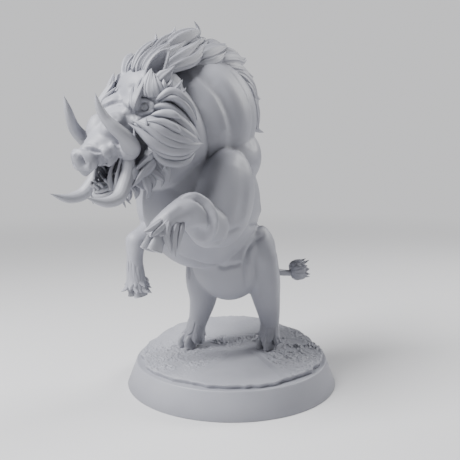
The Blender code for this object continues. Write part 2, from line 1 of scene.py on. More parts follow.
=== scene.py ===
"""A wild boar figurine that rears on a round scenic base, cast in light grey resin.

The CAD frame holds the masses and the sizes. This script dresses it: one unbroken skin, smooth tusks,
cloven hoofs, sculpted locks of hair and a stony ground. Lengths are in millimetres until a shape
becomes an object. The boar faces -Y and its left side is +X.
"""

import logging
import math
import random
from collections.abc import Callable, Iterable, Sequence
from dataclasses import dataclass, field
from enum import Enum
from functools import partial

import bmesh
import bpy
import numpy as np
from mathutils import Matrix, Vector
from mathutils.kdtree import KDTree


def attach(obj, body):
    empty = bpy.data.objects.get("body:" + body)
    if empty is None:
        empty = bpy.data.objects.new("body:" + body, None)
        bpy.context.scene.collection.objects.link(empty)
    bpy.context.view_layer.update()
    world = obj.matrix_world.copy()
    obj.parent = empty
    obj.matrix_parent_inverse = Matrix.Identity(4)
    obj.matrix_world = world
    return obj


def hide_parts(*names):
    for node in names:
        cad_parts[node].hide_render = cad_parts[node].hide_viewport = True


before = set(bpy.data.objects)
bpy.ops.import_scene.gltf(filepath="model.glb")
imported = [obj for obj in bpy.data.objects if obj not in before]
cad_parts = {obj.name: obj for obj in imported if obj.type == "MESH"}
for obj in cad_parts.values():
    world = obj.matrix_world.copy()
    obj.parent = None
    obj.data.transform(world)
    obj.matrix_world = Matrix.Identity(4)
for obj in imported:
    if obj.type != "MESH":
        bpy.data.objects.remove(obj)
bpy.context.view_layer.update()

LOG = logging.getLogger("boar")
MM = 0.001
HEAD_CENTRE = Vector((0.0, -28.0, 63.0))
HEAD_PITCH = math.radians(40.0)
HEAD_DEGREES = math.degrees(HEAD_PITCH)
FIGURE_HEIGHT = 83.0
# The hair's bake map is wound round the figurine's upright middle line, which passes through this Y.
# Each lock has a small patch of it, this long, and a tenth of that wide for each millimetre aside.
MIDDLE_Y = -9.0
PATCH = 0.003
PATCH_ASIDE = 0.1
# Points nearer to each other than this are one point.
SEAM = 1e-4
# The floor's far tone and its brightness, which the space behind it shares.
BACKDROP = "#e3e3e5"
BACKDROP_LIGHT = 1.05

Point = tuple[float, float, float]


class Side(Enum):
    """A side of the boar, as the sign of its X."""

    LEFT = 1
    RIGHT = -1

    def place(self, points: Iterable[Point]) -> list[Vector]:
        """Turns points given for the left side into this side's.

        Args:
            points: Places in millimetres, as they lie on the left.

        Returns:
            The same places on this side.
        """
        return [Vector((self.value * x, y, z)) for x, y, z in points]

    @property
    def label(self) -> str:
        """The side's name as the CAD nodes spell it."""
        return self.name.lower()


class Profile(Enum):
    """How a brush fades from the middle of its stroke to its edge."""

    ROUND = "round"
    SHARP = "sharp"
    LIPPED = "lipped"

    def weight(self, reach: np.ndarray) -> np.ndarray:
        """Gives the brush's strength.

        Args:
            reach: Distances from the stroke as shares of the brush's radius.

        Returns:
            Strengths: 1 in the middle, and nothing past the radius.
        """
        inside = np.clip(1.0 - reach, 0.0, 1.0)
        if self is Profile.ROUND:
            return (1.0 - np.clip(reach, 0.0, 1.0) ** 2) ** 2
        if self is Profile.SHARP:
            return inside**2
        groove = np.clip(1.0 - reach / 0.45, 0.0, 1.0) ** 1.5
        lip = np.clip(1.0 - np.abs(reach - 0.6) / 0.4, 0.0, 1.0)
        return groove - 0.45 * lip * lip * (3.0 - 2.0 * lip)


def head_point(x: float, f: float, u: float) -> Vector:
    """Gives a place in the head's own frame.

    Args:
        x: Distance to the boar's left.
        f: Distance forward along the muzzle.
        u: Distance up through the forehead.

    Returns:
        The place in the figurine's frame.
    """
    return HEAD_CENTRE + Matrix.Rotation(HEAD_PITCH, 3, "X") @ Vector((x, -f, u))


def head_line(side: Side, points: Iterable[Point]) -> list[Vector]:
    """Gives a line of places in the head's own frame.

    Args:
        side: Which side of the head.
        points: Left, forward and up distances.

    Returns:
        The places in the figurine's frame.
    """
    return [head_point(side.value * x, f, u) for x, f, u in points]


def spline(values: Sequence, share: float) -> float | Vector:
    """Gives a value on a smooth curve through evenly spaced values.

    Args:
        values: Numbers or vectors.
        share: How far along, from 0 to 1.

    Returns:
        The value there, of the same kind.
    """
    last = len(values) - 1
    place = min(max(share, 0.0), 1.0) * last
    step = min(int(place), last - 1)
    t = place - step
    before, start = values[max(step - 1, 0)], values[step]
    end, after = values[step + 1], values[min(step + 2, last)]
    straight = 2 * start + (end - before) * t
    bend = (2 * before - 5 * start + 4 * end - after) * t * t
    twist = (3 * start - before - 3 * end + after) * t * t * t
    return 0.5 * (straight + bend + twist)


def value_noise(places: np.ndarray, size: float, seed: int) -> np.ndarray:
    """Gives smooth random heights over a plane.

    Args:
        places: X and Y of each place.
        size: Width of one lump.
        seed: Which random surface.

    Returns:
        A height from -1 to 1 for each place.
    """
    cells = 128
    lattice = np.random.default_rng(seed).uniform(-1.0, 1.0, (cells, cells))
    grid = places / size + cells / 2
    low = np.floor(grid).astype(int)
    part = grid - low
    part = part * part * (3.0 - 2.0 * part)
    x0, y0 = low[:, 0] % cells, low[:, 1] % cells
    x1, y1 = (x0 + 1) % cells, (y0 + 1) % cells
    near = lattice[x0, y0] * (1 - part[:, 0]) + lattice[x1, y0] * part[:, 0]
    far = lattice[x0, y1] * (1 - part[:, 0]) + lattice[x1, y1] * part[:, 0]
    return near * (1 - part[:, 1]) + far * part[:, 1]


# --------------------------------------------------------------------------------------- finishes


def linear(hex_colour: str) -> tuple[float, float, float, float]:
    """Turns an sRGB hex colour into linear light.

    Args:
        hex_colour: Six hex digits after a hash.

    Returns:
        Red, green, blue and alpha.
    """
    channels = [int(hex_colour[start : start + 2], 16) / 255 for start in (1, 3, 5)]
    red, green, blue = (c / 12.92 if c <= 0.04045 else ((c + 0.055) / 1.055) ** 2.4 for c in channels)
    return red, green, blue, 1.0


def add_node(tree: bpy.types.NodeTree, kind: str, settings: dict, links: dict) -> bpy.types.Node:
    """Adds a node with its settings and what feeds it.

    Args:
        tree: The material's nodes.
        kind: The node's type.
        settings: Attributes by name, and values of sockets by name.
        links: The sockets that feed this node, by its own sockets' names.

    Returns:
        The new node.
    """
    node = tree.nodes.new(kind)
    for name, value in settings.items():
        if hasattr(node, name):
            setattr(node, name, value)
        else:
            node.inputs[name].default_value = value
    for name, socket in links.items():
        tree.links.new(socket, node.inputs[name])
    return node


@dataclass(frozen=True)
class CastResin:
    """Cast polyurethane resin, unpainted.

    It is poured in a soft mould and comes out matte and even, with a faint cloudiness where the pigment
    settled and a fine tooth from the mould.
    """

    name: str
    body: str
    veil: str
    roughness: float = 0.5
    cloud: float = 7.0
    tooth: float = 0.35
    tooth_depth: float = 0.012
    index_of_refraction: float = 1.5

    def material(self) -> bpy.types.Material:
        """Builds the material's nodes, on Object coordinates.

        Returns:
            The finished material.
        """
        made = bpy.data.materials.new(self.name)
        made.use_nodes = True
        tree = made.node_tree
        surface = tree.nodes["Principled BSDF"]
        surface.inputs["IOR"].default_value = self.index_of_refraction
        place = add_node(tree, "ShaderNodeTexCoord", {}, {}).outputs["Object"]
        broad = {"Scale": 1 / (self.cloud * MM), "Detail": 3.0, "Roughness": 0.5}
        fine = {"Scale": 1 / (self.tooth * MM), "Detail": 2.0, "Roughness": 0.6}
        cloud = add_node(tree, "ShaderNodeTexNoise", broad, {"Vector": place})
        tooth = add_node(tree, "ShaderNodeTexNoise", fine, {"Vector": place})
        middle = {"From Min": 0.3, "From Max": 0.7}
        cloudiness = add_node(tree, "ShaderNodeMapRange", middle, {"Value": cloud.outputs["Fac"]})
        colour = add_node(tree, "ShaderNodeMix", {"data_type": "RGBA"}, {})
        colour.inputs[6].default_value = linear(self.body)
        colour.inputs[7].default_value = linear(self.veil)
        tree.links.new(cloudiness.outputs["Result"], colour.inputs[0])
        tree.links.new(colour.outputs[2], surface.inputs["Base Color"])
        worn = {"To Min": self.roughness - 0.05, "To Max": self.roughness + 0.08}
        gloss = add_node(tree, "ShaderNodeMapRange", worn, {"Value": cloud.outputs["Fac"]})
        tree.links.new(gloss.outputs["Result"], surface.inputs["Roughness"])
        relief = {"Strength": 0.5, "Distance": self.tooth_depth * MM}
        bump = add_node(tree, "ShaderNodeBump", relief, {"Height": tooth.outputs["Fac"]})
        tree.links.new(bump.outputs["Normal"], surface.inputs["Normal"])
        return made


@dataclass(frozen=True)
class PaintedBoard:
    """Board with flat emulsion paint, rolled on: an even pale floor that runs into a lit backdrop."""

    name: str = "pale_emulsion_floor"
    body: str = "#dcdcde"
    roughness: float = 0.9
    fade_start: float = 50.0
    fade_end: float = 380.0

    def material(self) -> bpy.types.Material:
        """Builds the material: paint near the boar, and the backdrop's even tone far from it.

        Returns:
            The finished material.
        """
        made = bpy.data.materials.new(self.name)
        made.use_nodes = True
        tree = made.node_tree
        surface = tree.nodes["Principled BSDF"]
        surface.inputs["Base Color"].default_value = linear(self.body)
        surface.inputs["Roughness"].default_value = self.roughness
        place = add_node(tree, "ShaderNodeTexCoord", {}, {}).outputs["Object"]
        far = add_node(tree, "ShaderNodeVectorMath", {"operation": "LENGTH"}, {"Vector": place})
        span = {"From Min": self.fade_start * MM, "From Max": self.fade_end * MM}
        soft = {"interpolation_type": "SMOOTHSTEP", **span}
        fade = add_node(tree, "ShaderNodeMapRange", soft, {"Value": far.outputs["Value"]})
        seen = add_node(tree, "ShaderNodeLightPath", {}, {}).outputs["Is Camera Ray"]
        share = add_node(tree, "ShaderNodeMath", {"operation": "MULTIPLY"}, {})
        tree.links.new(fade.outputs["Result"], share.inputs[0])
        tree.links.new(seen, share.inputs[1])
        glow = {"Color": linear(BACKDROP), "Strength": BACKDROP_LIGHT}
        backdrop = add_node(tree, "ShaderNodeEmission", glow, {})
        mix = add_node(tree, "ShaderNodeMixShader", {}, {})
        tree.links.new(share.outputs["Value"], mix.inputs[0])
        tree.links.new(surface.outputs["BSDF"], mix.inputs[1])
        tree.links.new(backdrop.outputs["Emission"], mix.inputs[2])
        tree.links.new(mix.outputs["Shader"], tree.nodes["Material Output"].inputs["Surface"])
        return made


SKIN_RESIN = CastResin("cast_resin_skin", "#9c9da6", "#a3a4ac")
HAIR_RESIN = CastResin("cast_resin_hair", "#9a9ba4", "#a2a3ab")
HORN_RESIN = CastResin("cast_resin_tusk_and_hoof", "#a0a1a9", "#a7a8af", roughness=0.42, tooth_depth=0.006)
STONE_RESIN = CastResin("cast_resin_ground", "#9b9ca5", "#a5a6ae", roughness=0.6, tooth_depth=0.03)
DISC_RESIN = CastResin("cast_resin_base", "#9d9ea7", "#a3a4ac", roughness=0.48, tooth_depth=0.008)


# ----------------------------------------------------------------------------------- making shapes


class Clay:
    """A shape being built, in millimetres."""

    def __init__(self) -> None:
        """Starts with nothing."""
        self.shape = bmesh.new()

    def ball(
        self, centre: Sequence[float], radii: Sequence[float], tilt: float = 0.0, detail: int = 4
    ) -> None:
        """Adds an ellipsoid.

        Args:
            centre: Its middle.
            radii: Its half sizes along X, Y and Z.
            tilt: Degrees that its top leans forward.
            detail: How often its faces are split.
        """
        turn = Matrix.Rotation(math.radians(tilt), 4, "X")
        place = Matrix.Translation(Vector(centre)) @ turn @ Matrix.Diagonal((*radii, 1.0))
        bmesh.ops.create_icosphere(self.shape, subdivisions=detail, radius=1.0, matrix=place)

    def limb(self, line: Sequence[Vector], radii: Sequence[float], beads: int = 28) -> None:
        """Adds a round limb as a row of overlapping balls.

        Args:
            line: Points of its middle line.
            radii: Its radii, evenly spaced along the line.
            beads: How many balls.
        """
        line = [Vector(point) for point in line]
        for bead in range(beads + 1):
            share = bead / beads
            radius = spline(radii, share)
            self.ball(spline(line, share), (radius, radius, radius), detail=3)

    def sweep(
        self,
        line: Sequence[Vector],
        widths: Sequence[float],
        heights: Sequence[float],
        face: Sequence[float],
        rings: int = 12,
        sides: int = 10,
        grooves: int = 0,
        depth: float = 0.0,
        cup: float = 0.0,
        phase: float = 0.0,
    ) -> list[bmesh.types.BMVert]:
        """Rolls a grid up into a closed pod along a smooth curve.

        Args:
            line: Points of its middle line.
            widths: Half widths across the face, evenly spaced. An end of none closes in a point.
            heights: Half thicknesses along the face, evenly spaced.
            face: The way that the broad side looks.
            rings: Steps along the line.
            sides: Steps round it.
            grooves: How many grooves run along it.
            depth: Depth of the grooves, as a share of the pod's size.
            cup: How far the middle sinks, as a share of the half width.
            phase: Turn of the grooves.

        Returns:
            The pod's vertices.
        """
        line = [Vector(point) for point in line]
        facing = Vector(face)
        stations = []
        reach = 0.02
        for ring in range(rings + 1):
            share = ring / rings
            ahead = spline(line, min(share + reach, 1.0)) - spline(line, max(share - reach, 0.0))
            across = ahead.cross(facing).normalized()
            out = across.cross(ahead).normalized()
            width, height = max(spline(widths, share), 0.0), max(spline(heights, share), 0.0)
            stations.append((spline(line, share), across * width, out * height, out * width * cup))
        for end in (0, -1):
            if stations[end][1].length > 0.1 * SEAM:
                cap = (stations[end][0], Vector(), Vector(), Vector())
                stations = [cap, *stations] if end == 0 else [*stations, cap]
        last = len(stations) - 1
        made = bmesh.ops.create_grid(self.shape, x_segments=last, y_segments=sides, size=0.5)["verts"]
        for vert in made:
            share, turn = vert.co.x + 0.5, (vert.co.y + 0.5) * math.tau
            centre, across, out, sink = stations[round(share * last)]
            swell = 1.0 + depth * math.cos(grooves * turn + phase) if grooves else 1.0
            wave, crest = math.cos(turn) * swell, math.sin(turn) * swell
            vert.co = centre + across * wave + out * crest - sink * (1.0 - wave * wave)
        before = len(self.shape.verts) - len(made)
        bmesh.ops.remove_doubles(self.shape, verts=made, dist=SEAM)
        self.shape.verts.ensure_lookup_table()
        return list(self.shape.verts[before:])

    def mesh(self, name: str) -> bpy.types.Mesh:
        """Ends the shape.

        Args:
            name: What to call the mesh.

        Returns:
            The mesh, still in millimetres, with its faces outward.
        """
        bmesh.ops.recalc_face_normals(self.shape, faces=self.shape.faces)
        made = bpy.data.meshes.new(name)
        self.shape.to_mesh(made)
        self.shape.free()
        return made


def finished_piece(
    mesh: bpy.types.Mesh, name: str, finish: bpy.types.Material, nodes: Iterable[str]
) -> bpy.types.Object:
    """Turns a mesh in millimetres into a piece of the figurine.

    Args:
        mesh: The shape.
        name: The piece's name.
        finish: Its material.
        nodes: The CAD nodes that it stands for.

    Returns:
        The piece, in metres, riding on the figurine's one body.
    """
    mesh.transform(Matrix.Scale(MM, 4))
    mesh.materials.clear()
    mesh.materials.append(finish)
    mesh.shade_smooth()
    piece = bpy.data.objects.new(name, mesh)
    bpy.context.scene.collection.objects.link(piece)
    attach(piece, "root")
    nodes = list(nodes)
    if nodes:
        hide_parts(*nodes)
    LOG.info("%s: %d faces", name, len(mesh.polygons))
    return piece


def with_modifiers(mesh: bpy.types.Mesh, *steps: tuple[str, dict]) -> bpy.types.Mesh:
    """Applies modifiers to a mesh.

    Args:
        mesh: The shape.
        *steps: Each modifier's type and its settings.

    Returns:
        The mesh as they leave it.
    """
    helper = bpy.data.objects.new("helper", mesh)
    bpy.context.scene.collection.objects.link(helper)
    for kind, settings in steps:
        modifier = helper.modifiers.new(kind.lower(), kind)
        for name, value in settings.items():
            setattr(modifier, name, value)
    graph = bpy.context.evaluated_depsgraph_get()
    made = bpy.data.meshes.new_from_object(helper.evaluated_get(graph))
    bpy.data.objects.remove(helper, do_unlink=True)
    return made


def softening(rounds: int) -> tuple[str, dict]:
    """Gives the step that softens a mesh, for with_modifiers."""
    return "SMOOTH", {"iterations": rounds, "factor": 0.5}


# --------------------------------------------------------------------------------- the skin's tools


@dataclass(frozen=True)
class Stroke:
    """One pass of a sculpting tool over the skin.

    A height below nothing cuts in, and one above it builds up. face keeps the stroke to skin that looks
    roughly that way. A stroke that fades is weaker at both ends.
    """

    line: Sequence[Vector]
    radius: float
    height: float
    profile: Profile = Profile.ROUND
    face: Sequence[float] | None = None
    steps: int = 22
    fade: bool = True


def passes(
    lay: Callable[[Iterable[Point]], list[Vector]], rows: Iterable[tuple], **how: object
) -> list[Stroke]:
    """Makes strokes of rows that each give a radius, a height and the points of a line.

    Args:
        lay: Turns a row's points into places.
        rows: The rows.
        **how: Other settings of the strokes.

    Returns:
        The strokes, in the rows' order.
    """
    return [Stroke(lay(points), radius, height, **how) for radius, height, *points in rows]


class Sculptor:
    """Works over a fine mesh with soft tools."""

    # How fast a stroke gains strength from its ends, and from skin that looks across its face.
    end_gain: float = 4.0
    face_gain: float = 2.5
    # The strength that it has there.
    least: float = 0.25

    def __init__(self, mesh: bpy.types.Mesh) -> None:
        """Reads the mesh.

        Args:
            mesh: The skin, in millimetres.
        """
        self.mesh = mesh
        self.places = np.empty(len(mesh.vertices) * 3)
        mesh.vertices.foreach_get("co", self.places)
        self.places = self.places.reshape(-1, 3)
        outward = np.empty(len(mesh.vertices) * 3)
        mesh.vertex_normals.foreach_get("vector", outward)
        self.outward = outward.reshape(-1, 3)
        self.tree = KDTree(len(self.places))
        for index, place in enumerate(self.places):
            self.tree.insert(place, index)
        self.tree.balance()

    def on_skin(self, stroke: Stroke) -> np.ndarray:
        """Lays the stroke's line on the skin.

        Args:
            stroke: The stroke.

        Returns:
            Evenly spaced places of the line, moved to the nearest skin.
        """
        line = [Vector(point) for point in stroke.line]
        steps = stroke.steps if len(line) > 1 else 0
        shares = [step / max(steps, 1) for step in range(steps + 1)]
        ideal = [spline(line, share) if len(line) > 1 else line[0] for share in shares]
        return np.array([self.tree.find(place)[0] for place in ideal])

    def reach_of(self, dots: np.ndarray, near: np.ndarray) -> tuple[np.ndarray, np.ndarray]:
        """Measures how far places of the skin are from a line.

        Args:
            dots: The line's places.
            near: Which vertices to measure.

        Returns:
            Each one's distance from the line, and how far along the line it is, from 0 to 1.
        """
        places = self.places[near]
        reach, along = np.full(len(near), np.inf), np.zeros(len(near))
        spans = max(len(dots) - 1, 1)
        for index in range(spans):
            start = dots[index]
            step = dots[min(index + 1, len(dots) - 1)] - start
            length = max(float(step @ step), 1e-12)
            part = np.clip((places - start) @ step / length, 0.0, 1.0)
            gap = np.linalg.norm(places - start - part[:, None] * step, axis=1)
            closer = gap < reach
            reach[closer] = gap[closer]
            along[closer] = (index + part[closer]) / spans
        return reach, along

    def apply(self, strokes: Iterable[Stroke]) -> None:
        """Works the strokes into the skin, one after another.

        Args:
            strokes: The strokes.
        """
        for stroke in strokes:
            dots = self.on_skin(stroke)
            low, high = dots.min(axis=0) - stroke.radius, dots.max(axis=0) + stroke.radius
            near = np.flatnonzero(((self.places > low) & (self.places < high)).all(axis=1))
            reach, along = self.reach_of(dots, near)
            strength = stroke.profile.weight(reach / stroke.radius)
            if stroke.fade and len(dots) > 1:
                ends = np.minimum(along, 1.0 - along)
                strength *= np.clip(self.end_gain * ends + self.least, 0.0, 1.0)
            if stroke.face is not None:
                facing = np.array(Vector(stroke.face).normalized())
                strength *= np.clip(self.face_gain * (self.outward[near] @ facing) + self.least, 0.0, 1.0)
            strength[reach > stroke.radius] = 0.0
            self.places[near] += self.outward[near] * (stroke.height * strength)[:, None]

    def result(self) -> bpy.types.Mesh:
        """Ends the work.

        Returns:
            The worked mesh.
        """
        self.mesh.vertices.foreach_set("co", self.places.reshape(-1))
        self.mesh.update()
        return self.mesh


# ----------------------------------------------------------------------------------------- the skin


@dataclass
class BoarSkin:
    """The boar's flesh as one skin: masses fused together, then worked over with soft tools."""

    cell: float = 0.22
    fuse_rounds: int = 10
    settle_rounds: int = 8
    polish_rounds: int = 2
    most_triangles: int = 190_000
    skull: tuple = ((0, -4.6, 0.4), (6.4, 7.4, 5.6))
    trunk: tuple = (
        ((0, -9.4, 43.6), (10.4, 15.6, 14.6), -12),
        ((0, -15.6, 47.5), (8.8, 8.4, 10.0), 0),
        ((0, -5.8, 53.6), (9.8, 11.7, 8.4), 0),
        ((0, -9.0, 62.4), (10.0, 13.0, 13.2), 0),
        ((0, -0.8, 30.6), (8.8, 9.2, 10.6), 0),
        ((0, 1.6, 30.0), (8.0, 7.4, 7.0), 0),
        ((0, -21.6, 60.5), (9.4, 7.4, 13.2), 36),
        ((0, -21.5, 55.0), (7.6, 7.0, 8.0), 0),
    )
    head_masses: tuple = (
        ((3.3, 1.2, 3.7), (2.6, 3.4, 1.9)),
        ((4.6, -1.0, -2.4), (2.8, 6.0, 4.4)),
        ((4.6, 9.1, -1.5), (2.1, 2.4, 2.1)),
        ((3.1, 12.9, 1.0), (1.35, 1.5, 1.35)),
        ((2.1, 7.6, 3.2), (2.3, 3.2, 1.8)),
        ((4.0, 11.2, 0.6), (0.9, 0.8, 1.5)),
        ((5.0, 1.4, 0.4), (2.2, 3.2, 1.7)),
        ((6.0, -1.4, 1.4), (1.6, 2.6, 2.6)),
        ((4.6, 3.6, 1.4), (1.6, 1.6, 1.3)),
    )
    jaw_rim: tuple = (
        (4.4, 3.0, -5.6), (4.2, 8.0, -6.2), (3.8, 12.5, -6.3), (2.6, 15.0, -5.8), (0.0, 16.6, -5.2),
    )
    snout_lean: float = -10.0
    snout_radius: float = 2.75
    snout_discs: tuple = ((15.5, 0.95), (16.1, 1.0), (16.5, 0.95))
    shoulder: tuple = ((9.1, -12.4, 45.6), (5.2, 7.6, 10.6), -14)
    forelegs: tuple = (
        (Side.LEFT, ((10.4, -18.6, 40.0), (11.3, -22.4, 42.6), (11.2, -24.9, 44.6)), (4.2, 3.7, 3.0)),
        (Side.LEFT, ((11.2, -24.9, 44.6), (10.6, -28.6, 43.4), (9.9, -31.8, 41.2)), (3.0, 2.2, 1.9)),
        (Side.RIGHT, ((9.0, -14.0, 38.6), (8.8, -18.4, 36.8), (8.8, -21.9, 35.6)), (4.0, 2.8, 2.3)),
        (Side.RIGHT, ((8.8, -21.9, 35.6), (8.8, -22.2, 32.0), (9.0, -21.7, 27.0)), (2.3, 1.8, 1.8)),
    )
    thigh_radii: Point = (4.6, 5.4, 7.4)
    thighs: tuple = ((5.2, 2.6, 31.0), (-5.2, -1.2, 30.0))
    left_hind_line: tuple = (
        (5.8, 3.4, 30.0), (6.2, 4.4, 25.0), (6.3, 5.4, 20.5), (6.0, 7.0, 15.5), (5.6, 8.1, 10.6),
    )
    right_hind_line: tuple = (
        (6.0, -3.0, 29.0), (6.4, -3.4, 24.5), (6.6, -3.0, 20.0), (7.6, -3.2, 15.5), (8.8, -3.8, 10.6),
    )
    hind_radii: tuple = (4.4, 4.1, 3.4, 2.6, 1.9)
    tail_line: tuple = ((0.6, 6.5, 29.5), (2.4, 10.5, 26.4), (4.2, 13.2, 25.0), (6.0, 17.2, 24.4))
    tail_radii: tuple = (1.3, 1.05, 0.9, 0.8)
    eye_place: Point = (5.75, 1.8, 2.7)
    gaze: Point = (0.78, -0.58, 0.22)
    lid_radius: float = 1.36
    ear_line: tuple = ((3.5, -27.2, 67.6), (3.8, -26.8, 70.4), (4.3, -26.1, 72.8), (5.8, -24.5, 75.4))
    ear_rims: tuple = (
        ((3.1, -28.8, 68.2), (3.5, -28.8, 70.4), (4.1, -28.1, 72.6), (4.9, -26.6, 74.4), (5.8, -24.5, 75.5)),
        ((4.6, -25.6, 68.4), (5.1, -25.6, 70.4), (5.5, -25.2, 72.2), (5.8, -24.8, 73.9), (5.8, -24.5, 75.5)),
    )

    # Each form below is a row with the tool's radius, the height that it leaves and its line. The left
    # thigh's rows each follow the way that the skin looks where they are.
    back_forms: tuple = (
        (2.8, 0.45, (6.0, -20.3, 71.9), (9.0, -17.4, 67.6), (10.0, -14.1, 61.8), (10.5, -12.8, 57.7)),
        (2.2, -0.5, (6.2, -16.6, 72.4), (9.2, -13.0, 66.5), (10.0, -10.6, 60.0), (10.2, -10.0, 56.0)),
        (2.8, 0.35, (5.5, -12.3, 72.2), (8.0, -8.8, 66.1), (8.5, -6.4, 59.9), (8.6, -6.4, 55.1)),
        (2.2, -0.5, (4.4, -7.6, 73.0), (7.4, -3.4, 66.1), (8.1, -2.2, 59.9), (8.6, -3.0, 55.1)),
        (2.6, 0.3, (3.6, -2.0, 71.8), (5.6, 1.0, 66.1), (6.0, 2.4, 59.9), (5.6, 2.6, 54.5)),
    )
    shoulder_forms: tuple = (
        (3.0, 0.3, (12.6, -14.0, 54.5), (14.2, -16.4, 48.6), (14.0, -16.8, 41.4)),
        (2.0, -0.25, (12.4, -10.2, 54.0), (14.2, -11.8, 48.0), (13.8, -13.0, 40.6)),
    )
    waist_crease: tuple = (
        (1.1, -0.6, (8.6, -4.8, 39.2), (8.4, -2.4, 38.5), (6.5, 2.2, 38.1), (4.0, 6.4, 38.2)),
    )
    waist_form: tuple = ((1.8, 0.3, (5.0, -0.5, 42.0), (3.4, 5.4, 42.0)),)
    left_creases: tuple = (
        (1.1, -0.6, (2.7, -19.9, 33.7), (3.2, -18.1, 32.6), (3.8, -16.1, 31.7), (4.0, -12.9, 30.6),
         (4.6, -8.9, 29.7), (6.3, -6.8, 30.0), (7.6, -4.6, 30.7)),
        (1.2, -0.8, (8.4, 1.8, 36.1), (8.0, -0.6, 35.1), (7.8, -2.2, 34.1), (7.8, -3.5, 32.7),
         (7.9, -4.0, 31.3), (7.8, -4.2, 29.6), (7.4, -3.9, 27.4), (6.8, -2.8, 24.6)),
        (1.2, -0.5, (10.2, -21.2, 36.8), (12.2, -20.4, 36.9), (13.4, -19.4, 37.4), (13.7, -17.0, 38.0),
         (13.5, -13.4, 39.6), (12.8, -10.6, 39.8)),
    )
    right_crease: tuple = (
        (1.2, -0.7, (8.0, -4.6, 35.6), (8.2, -6.8, 32.0), (7.8, -7.6, 29.2), (6.8, -6.6, 25.0)),
    )
    left_thigh_forms: tuple = (
        ((1, 0, 0), (2.2, 0.35, (9.6, 2.6, 34.0), (10.2, 3.2, 27.0), (9.6, 4.4, 20.5))),
        ((1, -0.6, 0), (1.6, -0.4, (8.6, -1.6, 32.0), (8.8, 0.6, 26.0), (8.2, 2.4, 20.5))),
        ((1, 0.6, 0), (1.6, -0.3, (8.6, 6.4, 32.0), (9.0, 7.8, 26.0), (8.2, 8.4, 20.5))),
    )
    left_hock_forms: tuple = (
        (1.3, 0.8, (5.4, 8.8, 20.0), (5.2, 9.8, 17.0), (5.2, 10.2, 14.0)),
        (0.9, -0.4, (7.6, 8.2, 19.0), (7.4, 9.0, 16.0), (7.0, 9.6, 13.0)),
    )
    right_hock_form: tuple = ((1.3, 0.8, (7.2, 0.6, 19.6), (8.0, 0.2, 16.6), (8.8, -0.6, 13.6)),)
    right_thigh_form: tuple = ((2.2, 0.35, (9.6, -2.0, 33.0), (10.2, -2.6, 27.0), (9.6, -2.4, 21.0)),)
    cuff: tuple = (
        (1.1, 0.8, (11.4, -26.6, 47.6), (12.7, -25.0, 47.2), (13.6, -23.2, 46.9), (14.5, -22.0, 44.9),
         (14.9, -21.5, 42.5), (14.5, -21.4, 40.2), (13.2, -21.4, 38.6)),
    )
    cuff_crease: tuple = (
        (0.9, -0.75, (11.6, -27.4, 46.9), (12.8, -25.8, 46.6), (13.7, -24.0, 45.4), (14.4, -23.0, 43.5),
         (14.2, -22.4, 41.0), (13.0, -22.2, 39.2)),
    )
    elbow_hollow: tuple = ((3.0, -1.7, (12.8, -24.2, 38.8)),)
    far_fold: tuple = (
        (1.0, 0.5, (9.6, -15.2, 41.6), (11.6, -16.4, 39.2), (12.0, -16.8, 36.2), (10.8, -16.8, 34.0)),
    )
    knuckle: tuple = ((1.0, 0.3, (11.8, -28.0, 45.2), (11.0, -31.0, 43.4)),)
    snout_rims: tuple = (
        (0.9, 0.3, (0.0, 17.4, 3.9), (0.0, 17.5, 1.8), (0.0, 17.3, -0.6)),
        (0.6, -1.0, (1.55, 17.4, 3.2), (1.5, 17.4, 2.4), (1.6, 17.3, 1.6)),
        (0.45, 0.25, (0.55, 17.4, 3.4), (0.5, 17.5, 2.2), (0.8, 17.3, 0.9), (1.8, 17.0, 0.5),
         (2.5, 16.8, 1.4)),
    )
    nostril_pit: tuple = ((0.45, -1.5, (1.5, 16.8, 2.9), (1.5, 16.6, 2.0)),)
    snout_notches: tuple = (
        (0.3, -0.28, (0.4, 17.4, 0.9), (0.5, 17.2, -0.8)),
        (0.3, -0.28, (1.0, 17.3, 0.6), (1.2, 17.1, -0.8)),
    )
    outer_notch: tuple = ((0.3, -0.24, (1.7, 17.2, 0.8), (1.9, 17.0, -0.4)),)
    snout_groove: tuple = (
        (0.7, -0.8, (0.0, 14.5, 4.3), (2.2, 14.3, 3.5), (3.1, 14.0, 1.6), (3.0, 14.1, -0.2),
         (2.0, 14.5, -1.6)),
    )
    muzzle_wrinkle: tuple = ((0.6, -0.16, (0.4, 13.3, 4.0), (2.2, 13.1, 3.2), (3.2, 12.9, 1.8)),)
    bridge_fold: tuple = (
        (0.85, -0.5, (0.0, 1.9, 4.5), (1.5, 2.9, 4.5), (3.0, 3.6, 4.2), (4.2, 4.0, 3.7), (4.8, 3.8, 3.0)),
    )
    face_forms: tuple = (
        (0.6, -0.4, (4.8, 3.8, 3.0), (5.0, 4.1, 2.0), (5.9, 4.1, 1.3), (6.9, 3.4, 0.4), (7.4, 2.2, 0.0)),
        (1.2, -0.25, (1.6, -1.4, 5.8), (2.4, 0.3, 5.4), (3.4, 2.2, 4.8)),
        (2.6, 0.3, (2.2, 7.4, 4.4)),
        (1.1, 0.4, (4.0, 7.8, 3.7)),
        (0.75, -0.45, (3.9, 11.0, 1.8), (4.3, 11.2, 0.2), (4.1, 11.6, -1.4)),
        (0.8, -0.16, (2.2, 6.0, 4.6), (3.6, 7.6, 3.2), (4.6, 8.4, 1.4)),
    )
    eye_wrinkles: tuple = (
        (0.4, -0.22, (6.2, 1.0, 3.2), (6.9, -0.4, 2.4), (7.3, -1.6, 1.4)),
        (0.4, -0.22, (6.4, 1.9, 2.0), (7.1, 0.8, 1.4), (7.5, -0.6, 0.8)),
    )
